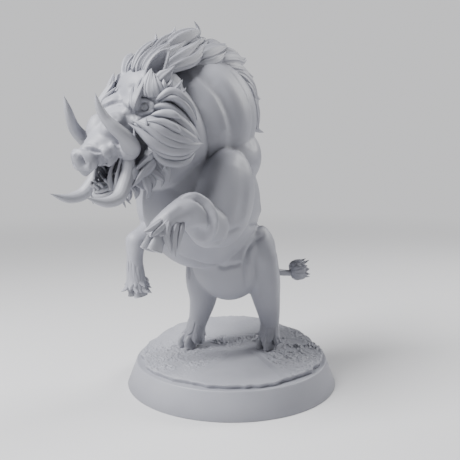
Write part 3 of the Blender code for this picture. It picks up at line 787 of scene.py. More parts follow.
    lip_grooves: tuple = (
        (0.6, -0.4, (3.4, 16.4, -6.2), (4.6, 13.4, -6.8), (5.2, 10.0, -7.0), (5.0, 6.0, -6.6)),
        (0.6, -0.3, (2.6, 17.4, -7.2), (4.0, 14.6, -8.2), (4.6, 11.0, -8.6)),
    )

    def add_trunk(self, clay: Clay) -> None:
        """Adds the trunk's and the neck's masses.

        Args:
            clay: The shape to add to.
        """
        for centre, radii, tilt in self.trunk:
            clay.ball(centre, radii, tilt, detail=5)

    def add_head(self, clay: Clay) -> None:
        """Adds the skull, the muzzle, the snout's disc and the jaw.

        Args:
            clay: The shape to add to.
        """
        place, radii = self.skull
        clay.ball(head_point(*place), radii, HEAD_DEGREES)
        for side in Side:
            for centre, radii in self.head_masses:
                clay.ball(head_line(side, [centre])[0], radii, HEAD_DEGREES)
        bridge = head_line(Side.LEFT, [(0, -3, 0.6), (0, 4, 1.0), (0, 9, 1.1), (0, 15.0, 1.4)])
        clay.sweep(bridge, [5.4, 4.7, 4.0, 2.5], [4.4, 3.2, 2.9, 2.1], (0, 0, 1), rings=24, sides=32)
        for point, radii in ((bridge[0], (5.3, 2, 4.4)), (bridge[-1], (2.5, 0.9, 2.2))):
            clay.ball(point, radii, HEAD_DEGREES)
        for depth, size in self.snout_discs:
            radius = self.snout_radius * size
            clay.ball(head_point(-0.1, depth, 1.6), (radius, 0.85, radius), HEAD_DEGREES + self.snout_lean)
        for side in Side:
            self.add_snout_wing(clay, side)
            self.add_eye_rims(clay, side)

    def add_snout_wing(self, clay: Clay, side: Side) -> None:
        """Adds the soft wing of a nostril and the upper lip behind it.

        Args:
            clay: The shape to add to.
            side: Which side of the head.
        """
        (wing,) = head_line(side, [(1.6, 15.6, 1.4)])
        clay.ball(wing, (1.4, 1.3, 2.0), HEAD_DEGREES + self.snout_lean)
        lip = head_line(side, [(1.6, 14.2, -0.8), (2.5, 13.2, -1.3), (3.0, 11.6, -1.1)])
        clay.limb(lip, [0.6, 0.85, 0.8], beads=14)

    def add_eye_rims(self, clay: Clay, side: Side) -> None:
        """Adds the lids, the swelling that they sit on and the fold under the eye.

        Args:
            clay: The shape to add to.
            side: Which side of the head.
        """
        clay.limb(self.lid_ring(side), [0.32, 0.4, 0.36, 0.3, 0.32], beads=60)
        (swelling,) = head_line(side, [(4.9, 1.5, 2.2)])
        clay.ball(swelling, (1.2, 1.5, 1.4), HEAD_DEGREES)
        fold = head_line(side, [(4.9, 3.4, 2.9), (5.6, 3.3, 2.2), (6.4, 2.0, 1.4), (6.9, 0.6, 1.2)])
        clay.limb(fold, [0.3, 0.5, 0.6, 0.5], beads=20)

    def lid_ring(self, side: Side) -> list[Vector]:
        """Lays out the rim of the two lids round an eye.

        Args:
            side: Which eye.

        Returns:
            The rim's points, closed into a loop.
        """
        (middle,) = head_line(side, [self.eye_place])
        gaze = self.eye_axis(side).normalized()
        level = gaze.cross(Vector((0, 0, 1))).normalized()
        upright = level.cross(gaze)
        rim = []
        for step in range(25):
            turn = math.tau * step / 24
            away = 1.12 * math.cos(turn) * level + 0.92 * math.sin(turn) * upright
            rim.append(middle + self.lid_radius * away)
        return rim

    def eye_axis(self, side: Side) -> Vector:
        """Gives the way that an eye's socket opens."""
        return Vector((side.value * self.gaze[0], self.gaze[1], self.gaze[2]))

    def add_jaw(self, clay: Clay) -> None:
        """Adds the open lower jaw, hollow along its top.

        Args:
            clay: The shape to add to.
        """
        for side in Side:
            rim = head_line(side, self.jaw_rim)
            clay.limb(rim, [1.9, 1.6, 1.4, 1.1, 1.1], beads=36)
            clay.ball(head_line(side, [(4.6, 11.6, -5.4)])[0], (1.5, 2.3, 1.9), HEAD_DEGREES)
        floor = head_line(Side.LEFT, [(0, 2, -7.6), (0, 8, -8.2), (0, 12.4, -7.9), (0, 15.4, -6.1)])
        clay.limb(floor, [2.6, 2.2, 1.9, 1.1], beads=24)
        for side in Side:
            strip = head_line(side, [(2.2, 2, -7.4), (2.1, 8, -7.9), (1.7, 12.4, -7.6), (1.0, 15.0, -6.2)])
            clay.limb(strip, [2.4, 2.0, 1.7, 1.0], beads=24)

    def add_legs(self, clay: Clay) -> None:
        """Adds the raised forelegs and the planted hind legs.

        Args:
            clay: The shape to add to.
        """
        centre, radii, tilt = self.shoulder
        for side in Side:
            clay.ball(side.place([centre])[0], radii, tilt, detail=5)
        for side, line, radii in self.forelegs:
            clay.limb(side.place(line), radii)
        for middle in self.thighs:
            clay.ball(middle, self.thigh_radii, detail=5)
        for side, line in ((Side.LEFT, self.left_hind_line), (Side.RIGHT, self.right_hind_line)):
            clay.limb(side.place(line), self.hind_radii, beads=40)

    def add_tail_and_ears(self, clay: Clay) -> None:
        """Adds the thin tail and the two cupped ears.

        Args:
            clay: The shape to add to.
        """
        clay.limb(self.tail_line, self.tail_radii, beads=40)
        for side in Side:
            line, face = side.place(self.ear_line), (side.value, -0.3, 0.1)
            clay.sweep(line, [1.3, 1.8, 1.5, 0.3], [0.6, 0.5, 0.45, 0.3], face, 24, 20, cup=0.45)
            for rim in self.ear_rims:
                clay.limb(side.place(rim), [0.5, 0.5, 0.46, 0.42, 0.24], beads=36)

    def body_strokes(self) -> list[Stroke]:
        """Lists the soft forms of the back, the shoulders, the belly and the thighs.

        Returns:
            The strokes, for both sides.
        """
        strokes = []
        for side in Side:
            strokes += passes(side.place, self.back_forms)
            strokes += passes(side.place, self.shoulder_forms, face=(side.value, 0.2, 0.3))
            strokes += passes(side.place, self.waist_crease, profile=Profile.SHARP)
            strokes += passes(side.place, self.waist_form)
        left, right = Side.LEFT, Side.RIGHT
        strokes += passes(left.place, self.left_creases, profile=Profile.SHARP)
        strokes += passes(right.place, self.right_crease, profile=Profile.SHARP)
        for face, row in self.left_thigh_forms:
            strokes += passes(left.place, [row], face=face)
        strokes += passes(left.place, self.left_hock_forms)
        strokes += passes(right.place, self.right_hock_form)
        strokes += passes(right.place, self.right_thigh_form, face=(-1, 0, 0))
        return strokes

    def foreleg_strokes(self) -> list[Stroke]:
        """Lists the fold round the raised elbow, the hollow behind it and the knuckles.

        Returns:
            The strokes.
        """
        left, right = Side.LEFT, Side.RIGHT
        strokes = passes(left.place, self.cuff, face=(1, -0.3, 0))
        strokes += passes(left.place, self.cuff_crease, profile=Profile.SHARP, face=(1, -0.3, 0))
        strokes += passes(left.place, self.elbow_hollow, face=(1, -0.6, -0.4))
        strokes += passes(right.place, self.far_fold, face=(-1, 0, 0))
        strokes += passes(left.place, self.knuckle)
        return strokes

    def head_strokes(self) -> list[Stroke]:
        """Lists the nostrils, lids, lips and wrinkles.

        Returns:
            The strokes, for both sides.
        """
        strokes = []
        for side in Side:
            head = partial(head_line, side)
            (eye,) = head([self.eye_place])
            opening = self.eye_axis(side)
            strokes += passes(head, self.snout_rims, fade=False)
            strokes += passes(head, self.nostril_pit, profile=Profile.SHARP, fade=False)
            strokes += passes(head, self.snout_notches, fade=False)
            strokes += passes(head, self.outer_notch)
            strokes += passes(head, self.snout_groove, fade=False)
            strokes += passes(head, self.muzzle_wrinkle)
            strokes += passes(head, self.bridge_fold, fade=False)
            strokes += passes(head, self.face_forms)
            around = [point + 0.55 * (point - eye) for point in self.lid_ring(side)]
            strokes.append(Stroke(around, 0.5, -0.45, steps=36, fade=False))
            strokes.append(Stroke([eye + 0.35 * opening], 1.0, -1.0, face=opening))
            strokes += passes(head, self.eye_wrinkles)
            strokes += passes(head, self.lip_grooves, profile=Profile.LIPPED)
        return strokes

    def build(self, finish: bpy.types.Material) -> bpy.types.Object:
        """Fuses, works and thins out the skin.

        Args:
            finish: Its material.

        Returns:
            The skin as a piece.
        """
        clay = Clay()
        for add in (self.add_trunk, self.add_head, self.add_jaw, self.add_legs, self.add_tail_and_ears):
            add(clay)
        cells = ("REMESH", {"mode": "VOXEL", "voxel_size": self.cell})
        sculptor = Sculptor(with_modifiers(clay.mesh("masses"), cells, softening(self.fuse_rounds)))
        sculptor.apply(self.body_strokes())
        sculptor.apply(self.foreleg_strokes())
        sculptor = Sculptor(with_modifiers(sculptor.result(), softening(self.settle_rounds)))
        sculptor.apply(self.head_strokes())
        worked = with_modifiers(sculptor.result(), softening(self.polish_rounds))
        share = self.most_triangles / (2 * len(worked.polygons))
        thinning = [("DECIMATE", {"ratio": share})] if share < 1.0 else []
        nodes = ["trunk", "neck", "head", "lower_jaw", "tail"]
        nodes += [f"{part}_{side.label}" for part in ("foreleg", "hind_leg", "ear") for side in Side]
        return finished_piece(with_modifiers(worked, *thinning), "boar_skin", finish, nodes)


# --------------------------------------------------------------------------- eyes, horn and the mouth


@dataclass
class Eyes:
    """Small round eyes, each with a shallow hollow for its pupil."""

    place: Point = (5.3, 1.65, 2.55)
    gaze: Point = (1.0, -0.75, 0.05)
    radius: float = 0.98
    pupil: float = 0.3
    hollow: float = 0.1

    def build(self, side: Side, finish: bpy.types.Material) -> bpy.types.Object:
        """Makes one eye.

        Args:
            side: Which eye.
            finish: Its material.

        Returns:
            The eye as a piece.
        """
        clay = Clay()
        (middle,) = head_line(side, [self.place])
        clay.ball(middle, (self.radius,) * 3, detail=5)
        gaze = side.place([self.gaze])[0].normalized()
        for vert in clay.shape.verts:
            away = (vert.co - middle - gaze * self.radius).length
            if away < self.pupil:
                vert.co -= gaze * self.hollow * (1.0 - (away / self.pupil) ** 2)
        return finished_piece(clay.mesh("eye"), f"boar_eye_{side.label}", finish, [f"eye_{side.label}"])


@dataclass
class Tusks:
    """Two pairs of smooth horn-like tusks."""

    upper_radius: float = 1.6
    lower_radius: float = 1.5
    upper_line: tuple = (
        (4.6, 9.0, -1.4), (5.7, 9.2, -0.4), (6.6, 9.7, 2.2), (6.2, 10.1, 4.5), (5.4, 10.1, 6.5),
        (4.9, 9.5, 8.9), (4.9, 8.5, 11.2),
    )
    lower_line: tuple = (
        (4.2, 9.6, -2.4), (4.5, 12.2, -4.5), (5.0, 14.8, -5.5), (5.6, 17.4, -5.9), (5.9, 19.6, -5.0),
        (5.8, 21.2, -3.5), (5.6, 22.9, -0.7),
    )

    upper_taper: tuple = (1.1, 1.12, 0.86, 0.74, 0.6, 0.42, 0.0)
    lower_taper: tuple = (0.8, 0.86, 0.9, 0.86, 0.72, 0.48, 0.0)
    upper_grooves: int = 7
    lower_grooves: int = 13
    groove_depth: float = 0.014

    def tusk(
        self,
        side: Side,
        points: tuple,
        radii: Sequence[float],
        name: str,
        grooves: int,
        finish: bpy.types.Material,
    ) -> bpy.types.Object:
        """Sweeps one tusk.

        Args:
            side: Which side of the head.
            points: Its middle line in the head's frame.
            radii: Its radii, evenly spaced.
            name: The CAD node's first words.
            grooves: How many fine grooves run along it.
            finish: Its material.

        Returns:
            The tusk as a piece.
        """
        clay = Clay()
        line = head_line(side, points)
        face = (side.value, 0, 0.2)
        clay.sweep(line, radii, radii, face, rings=90, sides=48, grooves=grooves, depth=self.groove_depth)
        clay.ball(line[0], (0.97 * radii[0],) * 3)
        node = f"{name}_{side.label}"
        return finished_piece(clay.mesh(name), f"boar_{node}", finish, [node])

    def build(self, side: Side, finish: bpy.types.Material) -> None:
        """Makes one side's pair.

        Args:
            side: Which side of the head.
            finish: Their material.
        """
        upper = [share * self.upper_radius for share in self.upper_taper]
        lower = [share * self.lower_radius for share in self.lower_taper]
        self.tusk(side, self.upper_line, upper, "upper_tusk", self.upper_grooves, finish)
        self.tusk(side, self.lower_line, lower, "lower_tusk", self.lower_grooves, finish)


@dataclass
class Mouth:
    """The tongue, the small teeth and the stretched corners of the open mouth."""

    tongue_line: tuple = ((0, 5.5, -6.0), (0, 9.5, -5.6), (0, 12.6, -5.9), (0, 14.8, -5.2))
    tooth_length: float = 1.5
    lower_teeth: tuple = (
        ((0.5, 17.2, -4.4), 0.5), ((1.15, 16.5, -4.6), 0.5), ((1.7, 15.4, -4.8), 0.4),
        ((2.1, 14.3, -4.9), 0.2),
        ((2.5, 13.3, -5.0), 0.0), ((2.8, 11.8, -4.8), -0.1),
    )
    lower_tooth_radii: tuple = (0.42, 0.3, 0.3, 0.36, 0.0)
    upper_teeth: tuple = ((1.7, 13.0, -1.0), (2.2, 11.4, -1.2))
    upper_tooth_radii: tuple = (0.5, 0.38, 0.0)
    strands: tuple = (
        ((2.3, 11.0, -1.4), (2.3, 12.4, -2.3), (2.3, 13.8, -2.8), (2.3, 15.1, -4.0), (2.4, 15.9, -5.6)),
        ((3.5, 10.9, -1.9), (3.5, 12.5, -2.9), (3.5, 14.0, -3.9), (3.4, 14.9, -5.0), (3.2, 15.3, -6.4)),
    )
    strand_radii: tuple = (0.32, 0.3, 0.4, 0.6, 0.7)
    gums: tuple = (
        ((0.0, 17.4, -4.9), (1.2, 17.0, -5.0), (2.2, 15.8, -5.2), (2.9, 14.2, -5.2), (3.3, 12.0, -4.8)),
        ((0.0, 18.0, -5.6), (1.5, 17.6, -5.7), (2.7, 16.2, -6.0), (3.5, 14.4, -5.9), (3.9, 12.2, -5.5)),
    )
    gum_widths: tuple = (0.0, 0.45, 0.5, 0.5, 0.5, 0.45, 0.0)
    gum_height: float = 0.42

    def build(self, finish: bpy.types.Material) -> None:
        """Makes the mouth's pieces.

        Args:
            finish: Their material.
        """
        clay = Clay()
        line = head_line(Side.LEFT, self.tongue_line)
        clay.sweep(line, [1.2, 1.7, 1.6, 0.0], [0.6, 0.8, 0.6, 0.0], (0, 0, 1), rings=28, sides=20, cup=0.2)
        finished_piece(clay.mesh("tongue"), "boar_tongue", finish, ["tongue"])
        clay = Clay()
        for side in Side:
            for (x, f, u), lean in self.lower_teeth:
                length, radii = self.tooth_length, self.lower_tooth_radii
                tooth = head_line(
                    side,
                    [(x, f, u - 0.5), (x, f + 0.3 * lean, u + 0.6 * length), (x, f + lean, u + length)],
                )
                clay.sweep(tooth, radii, radii, (1, 0, 0), rings=18, sides=14)
            for x, f, u in self.upper_teeth:
                radii = self.upper_tooth_radii
                tooth = head_line(side, [(x, f, u + 0.4), (x, f + 0.2, u - 0.7), (x, f + 0.1, u - 1.5)])
                clay.sweep(tooth, radii, radii, (1, 0, 0), rings=12, sides=14)
            for strand in self.strands:
                radii, line = self.strand_radii, head_line(side, strand)
                flat = [0.85 * radius for radius in radii]
                clay.sweep(line, radii, flat, (1, 0.4, 0), rings=26, sides=16, grooves=4, depth=0.06)
        for gum in self.gums:
            round_line = head_line(Side.RIGHT, gum[:0:-1]) + head_line(Side.LEFT, gum)
            heights = [self.gum_height] * len(self.gum_widths)
            clay.sweep(round_line, self.gum_widths, heights, (0, -0.2, 1), rings=60, sides=14)
        finished_piece(clay.mesh("teeth"), "boar_teeth", finish, [])


@dataclass
class Hoofs:
    """Cloven hoofs: two flat-soled toes side by side, with a pair of small dewclaws behind."""

    places: dict = field(
        default_factory=lambda: {
            "fore_hoof_left": ((9.9, -31.6, 40.9), (9.2, -33.2, 36.9), 1.25),
            "fore_hoof_right": ((-9.0, -21.8, 27.4), (-9.0, -21.4, 23.0), 1.25),
            "hind_hoof_left": ((5.5, 8.2, 10.2), (5.3, 6.6, 7.05), 1.4),
            "hind_hoof_right": ((-9.2, -4.0, 10.2), (-9.6, -5.6, 7.05), 1.4),
        }
    )
    wall: tuple = (0.7, 0.86, 0.96, 1.02, 1.06, 1.1, 1.13, 1.15, 1.16, 1.14, 0.0)
    toe_gap: float = 0.78
    toe_width: float = 0.62
    toe_depth: float = 1.22

    def build(self, node: str, finish: bpy.types.Material) -> bpy.types.Object:
        """Makes one hoof.

        Args:
            node: The CAD node that it stands for.
            finish: Its material.

        Returns:
            The hoof as a piece.
        """
        root, tip, size = self.places[node]
        root, tip = Vector(root), Vector(tip)
        across = Vector((1, 0, 0))
        ahead = (tip - root).normalized()
        sole = across.cross(ahead)
        down = Vector((0, 0, -1)) if "hind" in node else ahead
        clay = Clay()
        for side in Side:
            shift = across * side.value * self.toe_gap * size
            toe = [
                root + 0.62 * shift - ahead,
                tip + shift - 1.9 * down,
                tip + 1.04 * shift - 0.9 * down,
                tip + 1.08 * shift,
            ]
            widths = [self.toe_width * size * share for share in self.wall]
            depths = [self.toe_depth * size * share for share in self.wall]
            clay.sweep(toe, widths, depths, sole, rings=60, sides=32)
            claw = [
                root + 0.9 * shift + sole * 0.9 * size,
                root + 1.2 * shift + sole * 1.5 * size + ahead,
                root + 1.1 * shift + sole * 1.6 * size + 2.0 * ahead,
            ]
            widths, depths = [0.3 * size, 0.45 * size, 0.0], [0.3 * size, 0.42 * size, 0.0]
            clay.sweep(claw, widths, depths, sole, rings=12, sides=12)
        clay.ball(root - 0.3 * ahead, (1.1 * size, 1.1 * size, 1.1 * size))
        return finished_piece(clay.mesh("hoof"), f"boar_{node}", finish, [node])


# ------------------------------------------------------------------------------------------ the hair


class Coat(Clay):
    """Sculpted hair: leaf-shaped locks, each with its own patch of the bake map."""

    def __init__(self, seed: int) -> None:
        """Starts with no hair.

        Args:
            seed: Seed of the small random differences between locks.
        """
        super().__init__()
        self.patch = self.shape.verts.layers.float_vector.new("patch")
        self.random = random.Random(seed)

    def lock(
        self,
        line: Sequence[Vector],
        width: float,
        thickness: float,
        face: Sequence[float],
        grooves: int = 7,
        depth: float = 0.12,
        rings: int = 22,
        sides: int = 28,
        shape: Sequence[float] = (0.0, 0.75, 1.0, 0.85, 0.5, 0.0),
    ) -> None:
        """Adds a lock that widens from its root and ends in a point.

        Args:
            line: Its middle line, from root to tip.
            width: Its half width.
            thickness: Its half thickness.
            face: The way that its broad side looks.
            grooves: How many grooves run round it.
            depth: Their depth, as a share of its size.
            rings: Steps along it.
            sides: Steps round it.
            shape: Shares of the width from root to tip.
        """
        verts = self.sweep(
            line,
            [width * share for share in shape],
            [thickness * min(1.0, share + 0.12) * (share > 0) for share in shape],
            face,
            rings,
            sides,
            grooves,
            depth,
            phase=self.random.uniform(0.0, math.tau),
        )
        root = Vector(line[0])
        u = 0.5 + math.atan2(root.x, -(root.y - MIDDLE_Y)) / math.tau
        v = root.z / FIGURE_HEIGHT
        length = max((Vector(line[-1]) - root).length, 0.1)
        for vert in verts:
            away = vert.co - root
            along, aside = PATCH * (away.length / length - 0.5), PATCH * PATCH_ASIDE * away.x
            vert[self.patch] = Vector((u + along, v + aside, 0.0))

    def leaves(self, side: Side, leaves: Iterable[tuple], face: Sequence[float], **more: float) -> None:
        """Adds locks that are each given as a half width, a half thickness and the points of a line.

        Args:
            side: Which side they are on.
            leaves: The locks of the left side.
            face: The way that they look on the left side.
            **more: Other settings of the locks.
        """
        (facing,) = side.place([face])
        for width, thickness, *points in leaves:
            self.lock(side.place(points), width, thickness, facing, **more)

    def mesh(self, name: str) -> bpy.types.Mesh:
        """Ends the shape and writes its bake map.

        Args:
            name: What to call the mesh.

        Returns:
            The mesh, with a UV map named OFBake.
        """
        made = super().mesh(name)
        places = np.empty(len(made.vertices) * 3)
        made.attributes["patch"].data.foreach_get("vector", places)
        corners = np.empty(len(made.loops), dtype=np.int32)
        made.loops.foreach_get("vertex_index", corners)
        flat = places.reshape(-1, 3)[corners, :2]
        made.uv_layers.new(name="OFBake").data.foreach_set("uv", flat.reshape(-1))
        made.attributes.remove(made.attributes["patch"])
        return made


@dataclass
class Mane:
    """A crest of broad overlapping leaves from the forehead to between the shoulders."""

    ridge: tuple = (
        (-29.5, 70.0), (-26.0, 72.6), (-22.5, 74.8), (-17.0, 76.6), (-11.0, 77.2), (-5.0, 75.8), (-0.4, 72.8),
        (2.8, 68.0), (4.4, 61.6),
    )
    keel_depth: float = 1.6
    keel_radii: tuple = (2.9, 2.2)
    keel_shape: tuple = (0.0, 0.75, 0.95, 1.0, 0.95, 0.75, 0.0)
    crest_shape: tuple = (0.3, 0.8, 1.0, 0.8, 0.46, 0.2, 0.0)
    flank_shape: tuple = (0.25, 0.75, 1.0, 0.9, 0.6, 0.25, 0.0)
    crest: tuple = (
        (1.4, 0.8, (0.9, -29.8, 71.0), (0.8, -28.0, 73.2), (0.7, -25.6, 75.6), (0.5, -23.4, 77.4),
         (0.3, -23.2, 79.2)),
        (1.2, 0.7, (1.2, -26.6, 73.4), (1.0, -22.6, 76.6), (0.7, -19.4, 78.4), (0.4, -18.2, 79.8),
         (0.3, -17.8, 81.0)),
        (2.2, 0.9, (1.6, -24.0, 74.0), (1.4, -18.8, 77.0), (1.0, -14.2, 79.2), (0.7, -11.4, 80.8),
         (0.4, -12.5, 82.8)),
        (1.7, 0.8, (1.6, -17.0, 75.8), (1.4, -13.6, 77.4), (1.0, -10.8, 78.8), (0.6, -9.0, 79.6)),
        (1.7, 0.8, (1.6, -13.0, 76.0), (1.4, -8.4, 77.6), (0.9, -4.6, 78.2), (0.4, -2.3, 79.3)),
        (1.8, 0.8, (1.5, -7.6, 75.6), (1.3, -2.4, 76.4), (0.9, 1.8, 76.0), (0.3, 4.8, 76.7)),
        (1.6, 0.8, (1.5, -3.0, 74.6), (1.2, 1.2, 73.4), (0.8, 4.6, 72.2), (0.3, 7.6, 72.6)),
        (1.7, 0.9, (1.6, 0.8, 72.8), (1.4, 4.4, 70.0), (0.9, 7.0, 67.6), (0.3, 10.4, 67.6)),
        (1.4, 0.8, (1.5, 3.6, 68.4), (1.2, 5.8, 65.6), (0.8, 7.6, 63.7), (0.3, 9.4, 63.9)),
        (1.7, 0.9, (1.6, 4.2, 66.4), (1.4, 5.8, 62.8), (1.0, 7.8, 60.4), (0.3, 11.6, 59.5)),
    )
    flank: tuple = (
        (1.1, 0.6, (1.5, -29.2, 70.4), (1.6, -28.4, 72.2), (1.5, -26.4, 74.2), (1.2, -24.0, 76.2),
         (0.8, -22.0, 77.6)),
        (1.1, 0.6, (2.1, -28.6, 70.6), (2.3, -27.2, 72.4), (2.2, -24.4, 74.8), (1.9, -21.2, 76.8),
         (1.3, -18.6, 78.4)),
        (1.2, 0.6, (2.8, -26.6, 71.4), (3.0, -24.6, 73.2), (3.0, -21.8, 74.9), (2.6, -18.6, 76.7),
         (1.8, -15.6, 78.6)),
        (1.5, 0.7, (3.2, -25.2, 70.6), (3.8, -22.6, 72.6), (3.7, -18.8, 74.7), (2.9, -14.6, 77.2),
         (1.6, -11.2, 79.6)),
        (1.5, 0.7, (4.0, -24.6, 71.0), (4.3, -20.4, 72.9), (3.9, -16.0, 74.6), (3.0, -12.4, 77.0),
         (1.8, -9.6, 79.0)),
        (1.6, 0.7, (3.2, -16.0, 74.2), (3.6, -12.4, 75.6), (2.9, -8.4, 77.0), (2.0, -5.0, 77.9),
         (1.2, -2.8, 78.6)),
        (1.4, 0.7, (3.6, -15.4, 73.2), (4.1, -11.2, 74.2), (3.6, -7.6, 75.6), (2.6, -4.4, 77.2)),
        (1.6, 0.7, (3.2, -10.2, 73.9), (3.4, -6.0, 75.2), (2.7, -1.8, 75.7), (1.8, 1.6, 75.4),
         (1.1, 4.2, 76.2)),
        (1.4, 0.7, (3.6, -8.8, 72.8), (3.8, -4.6, 73.6), (3.1, -0.4, 73.5), (2.2, 3.0, 72.8),
         (1.3, 6.2, 72.4)),
        (1.4, 0.7, (3.8, -5.4, 73.0), (3.8, -0.4, 72.2), (3.2, 3.4, 70.2), (2.2, 6.2, 68.0),
         (1.0, 9.2, 67.4)),
        (1.3, 0.7, (3.8, -1.6, 71.8), (3.8, 2.0, 69.8), (3.0, 4.8, 67.0), (2.0, 6.6, 64.8), (0.9, 8.8, 63.8)),
        (1.4, 0.7, (3.6, 2.0, 69.4), (3.4, 4.2, 65.8), (2.8, 5.6, 62.6), (1.8, 7.2, 60.4), (0.8, 10.2, 59.6)),
    )

    def build(self, finish: bpy.types.Material) -> bpy.types.Object:
        """Makes the mane.

        Args:
            finish: Its material.

        Returns:
            The mane as a piece.
        """
        coat = Coat(seed=11)
        keel = [Vector((0, y, z - self.keel_depth)) for y, z in self.ridge]
        coat.lock(keel, *self.keel_radii, (0, 0.2, 1), grooves=0, rings=48, sides=24, shape=self.keel_shape)
        fine, coarse = {"rings": 34, "sides": 40, "depth": 0.09}, {"rings": 32, "sides": 36, "depth": 0.12}
        coat.leaves(Side.LEFT, self.crest, (1.0, 0.0, 0.0), shape=self.crest_shape, **fine)
        for side in Side:
            coat.leaves(side, self.flank, (1.0, 0.0, 0.45), shape=self.flank_shape, **coarse)
        return finished_piece(coat.mesh("mane"), "boar_mane", finish, ["mane"])


@dataclass
class Ruff:
    """Three petals of stiff cheek hair that sweep back from the mouth and the eye."""

    bed_shape: tuple = (0.0, 0.6, 0.95, 1.0, 0.6, 0.0)
    ridge_shape: tuple = (0.0, 0.6, 0.95, 1.0, 1.0, 0.75, 0.0)
    finger_shape: tuple = (0.0, 0.5, 0.85, 1.0, 0.95, 0.6, 0.0)
    cone_shape: tuple = (1.0, 0.8, 0.45, 0.2, 0.0)
    beds: tuple = (
        (3.6, 1.1, (5.4, -33.6, 60.8), (7.9, -31.0, 60.2), (9.5, -27.8, 59.4), (10.1, -24.4, 58.2),
         (10.3, -20.8, 57.1)),
        (1.0, 0.6, (6.2, -28.8, 64.6), (8.0, -27.2, 66.0), (9.2, -25.0, 65.0), (9.6, -23.0, 62.8),
         (9.9, -21.8, 60.2)),
        (1.2, 0.6, (5.8, -30.4, 56.6), (7.2, -29.0, 54.9), (8.3, -27.0, 54.0), (8.9, -24.0, 54.0),
         (9.2, -21.4, 55.4)),
    )
    ridges: tuple = (
        (1.05, 0.95, (5.2, -34.8, 60.9), (7.1, -33.2, 59.1), (8.4, -31.8, 57.5), (9.6, -29.4, 56.1),
         (10.4, -26.9, 55.7), (10.7, -23.8, 56.0), (10.6, -20.2, 57.1)),
        (0.95, 0.75, (5.4, -34.4, 61.6), (8.2, -32.4, 59.9), (9.7, -30.0, 57.9), (10.6, -27.1, 56.8),
         (10.9, -23.3, 56.7), (10.6, -20.4, 57.1)),
        (0.95, 0.7, (6.4, -33.2, 61.2), (9.0, -31.4, 60.1), (10.3, -28.8, 58.7), (11.0, -25.8, 57.8),
         (11.0, -22.6, 57.2)),
        (0.95, 0.65, (7.2, -31.2, 61.4), (9.7, -29.4, 60.8), (10.8, -26.8, 59.6), (11.1, -24.2, 58.3),
         (10.8, -21.6, 57.4)),
        (0.9, 0.65, (6.8, -29.6, 63.0), (9.0, -28.2, 62.8), (10.3, -26.4, 61.6), (11.0, -24.4, 59.8),
         (10.9, -22.0, 57.8)),
        (0.95, 0.8, (5.4, -30.6, 63.2), (7.5, -28.7, 64.1), (8.6, -27.1, 63.7), (9.6, -25.2, 62.2),
         (10.5, -23.6, 59.9), (10.7, -20.8, 57.4)),
        (0.75, 0.75, (6.2, -29.4, 64.6), (7.9, -28.8, 65.9), (9.1, -27.4, 66.9), (10.1, -25.7, 66.1),
         (10.5, -23.5, 64.2), (10.4, -21.6, 61.4)),
        (0.6, 0.7, (6.6, -29.0, 64.4), (8.4, -28.0, 65.5), (9.7, -26.8, 65.5), (10.5, -25.0, 64.2),
         (10.6, -23.3, 62.2), (10.4, -21.8, 59.9)),
        (0.55, 0.6, (6.0, -30.8, 57.0), (7.6, -30.2, 55.8), (8.5, -28.6, 54.8), (9.3, -26.0, 54.4),
         (9.6, -23.4, 54.8), (9.4, -21.4, 55.9)),
        (0.75, 0.7, (5.8, -30.6, 56.4), (7.2, -30.0, 55.1), (8.2, -28.6, 53.7), (9.0, -26.0, 53.2),
         (9.2, -23.2, 53.7), (9.1, -21.0, 55.4)),
    )
    fingers: tuple = (
        (0.72, 0.62, (7.6, -32.6, 61.2), (9.4, -30.6, 61.2), (10.7, -28.6, 60.4), (11.4, -26.8, 59.2)),
        (0.78, 0.62, (7.4, -31.2, 62.3), (9.2, -29.9, 62.7), (10.6, -28.2, 62.5), (11.2, -26.9, 61.7)),
    )
    cones: tuple = (
        (0.55, 0.55, (7.6, -32.6, 59.8), (8.2, -32.8, 60.7), (8.5, -33.1, 62.0)),
        (0.6, 0.6, (5.9, -33.9, 57.2), (6.3, -34.2, 58.4), (6.5, -34.4, 60.2)),
    )

    def build(self, side: Side, finish: bpy.types.Material) -> bpy.types.Object:
        """Makes one side's petals.

        Args:
            side: Which cheek.
            finish: Their material.

        Returns:
            The petals as a piece.
        """
        coat = Coat(seed=23)
        face = (1.0, -0.1, 0.2)
        coat.leaves(side, self.beds, face, grooves=0, shape=self.bed_shape)
        coat.leaves(side, self.ridges, face, grooves=0, rings=40, sides=20, shape=self.ridge_shape)
        coat.leaves(side, self.fingers, face, grooves=0, rings=30, sides=20, shape=self.finger_shape)
        coat.leaves(side, self.cones, face, grooves=5, rings=16, sides=24, shape=self.cone_shape)
        return finished_piece(coat.mesh("ruff"), f"boar_ruff_{side.label}", finish, [f"ruff_{side.label}"])


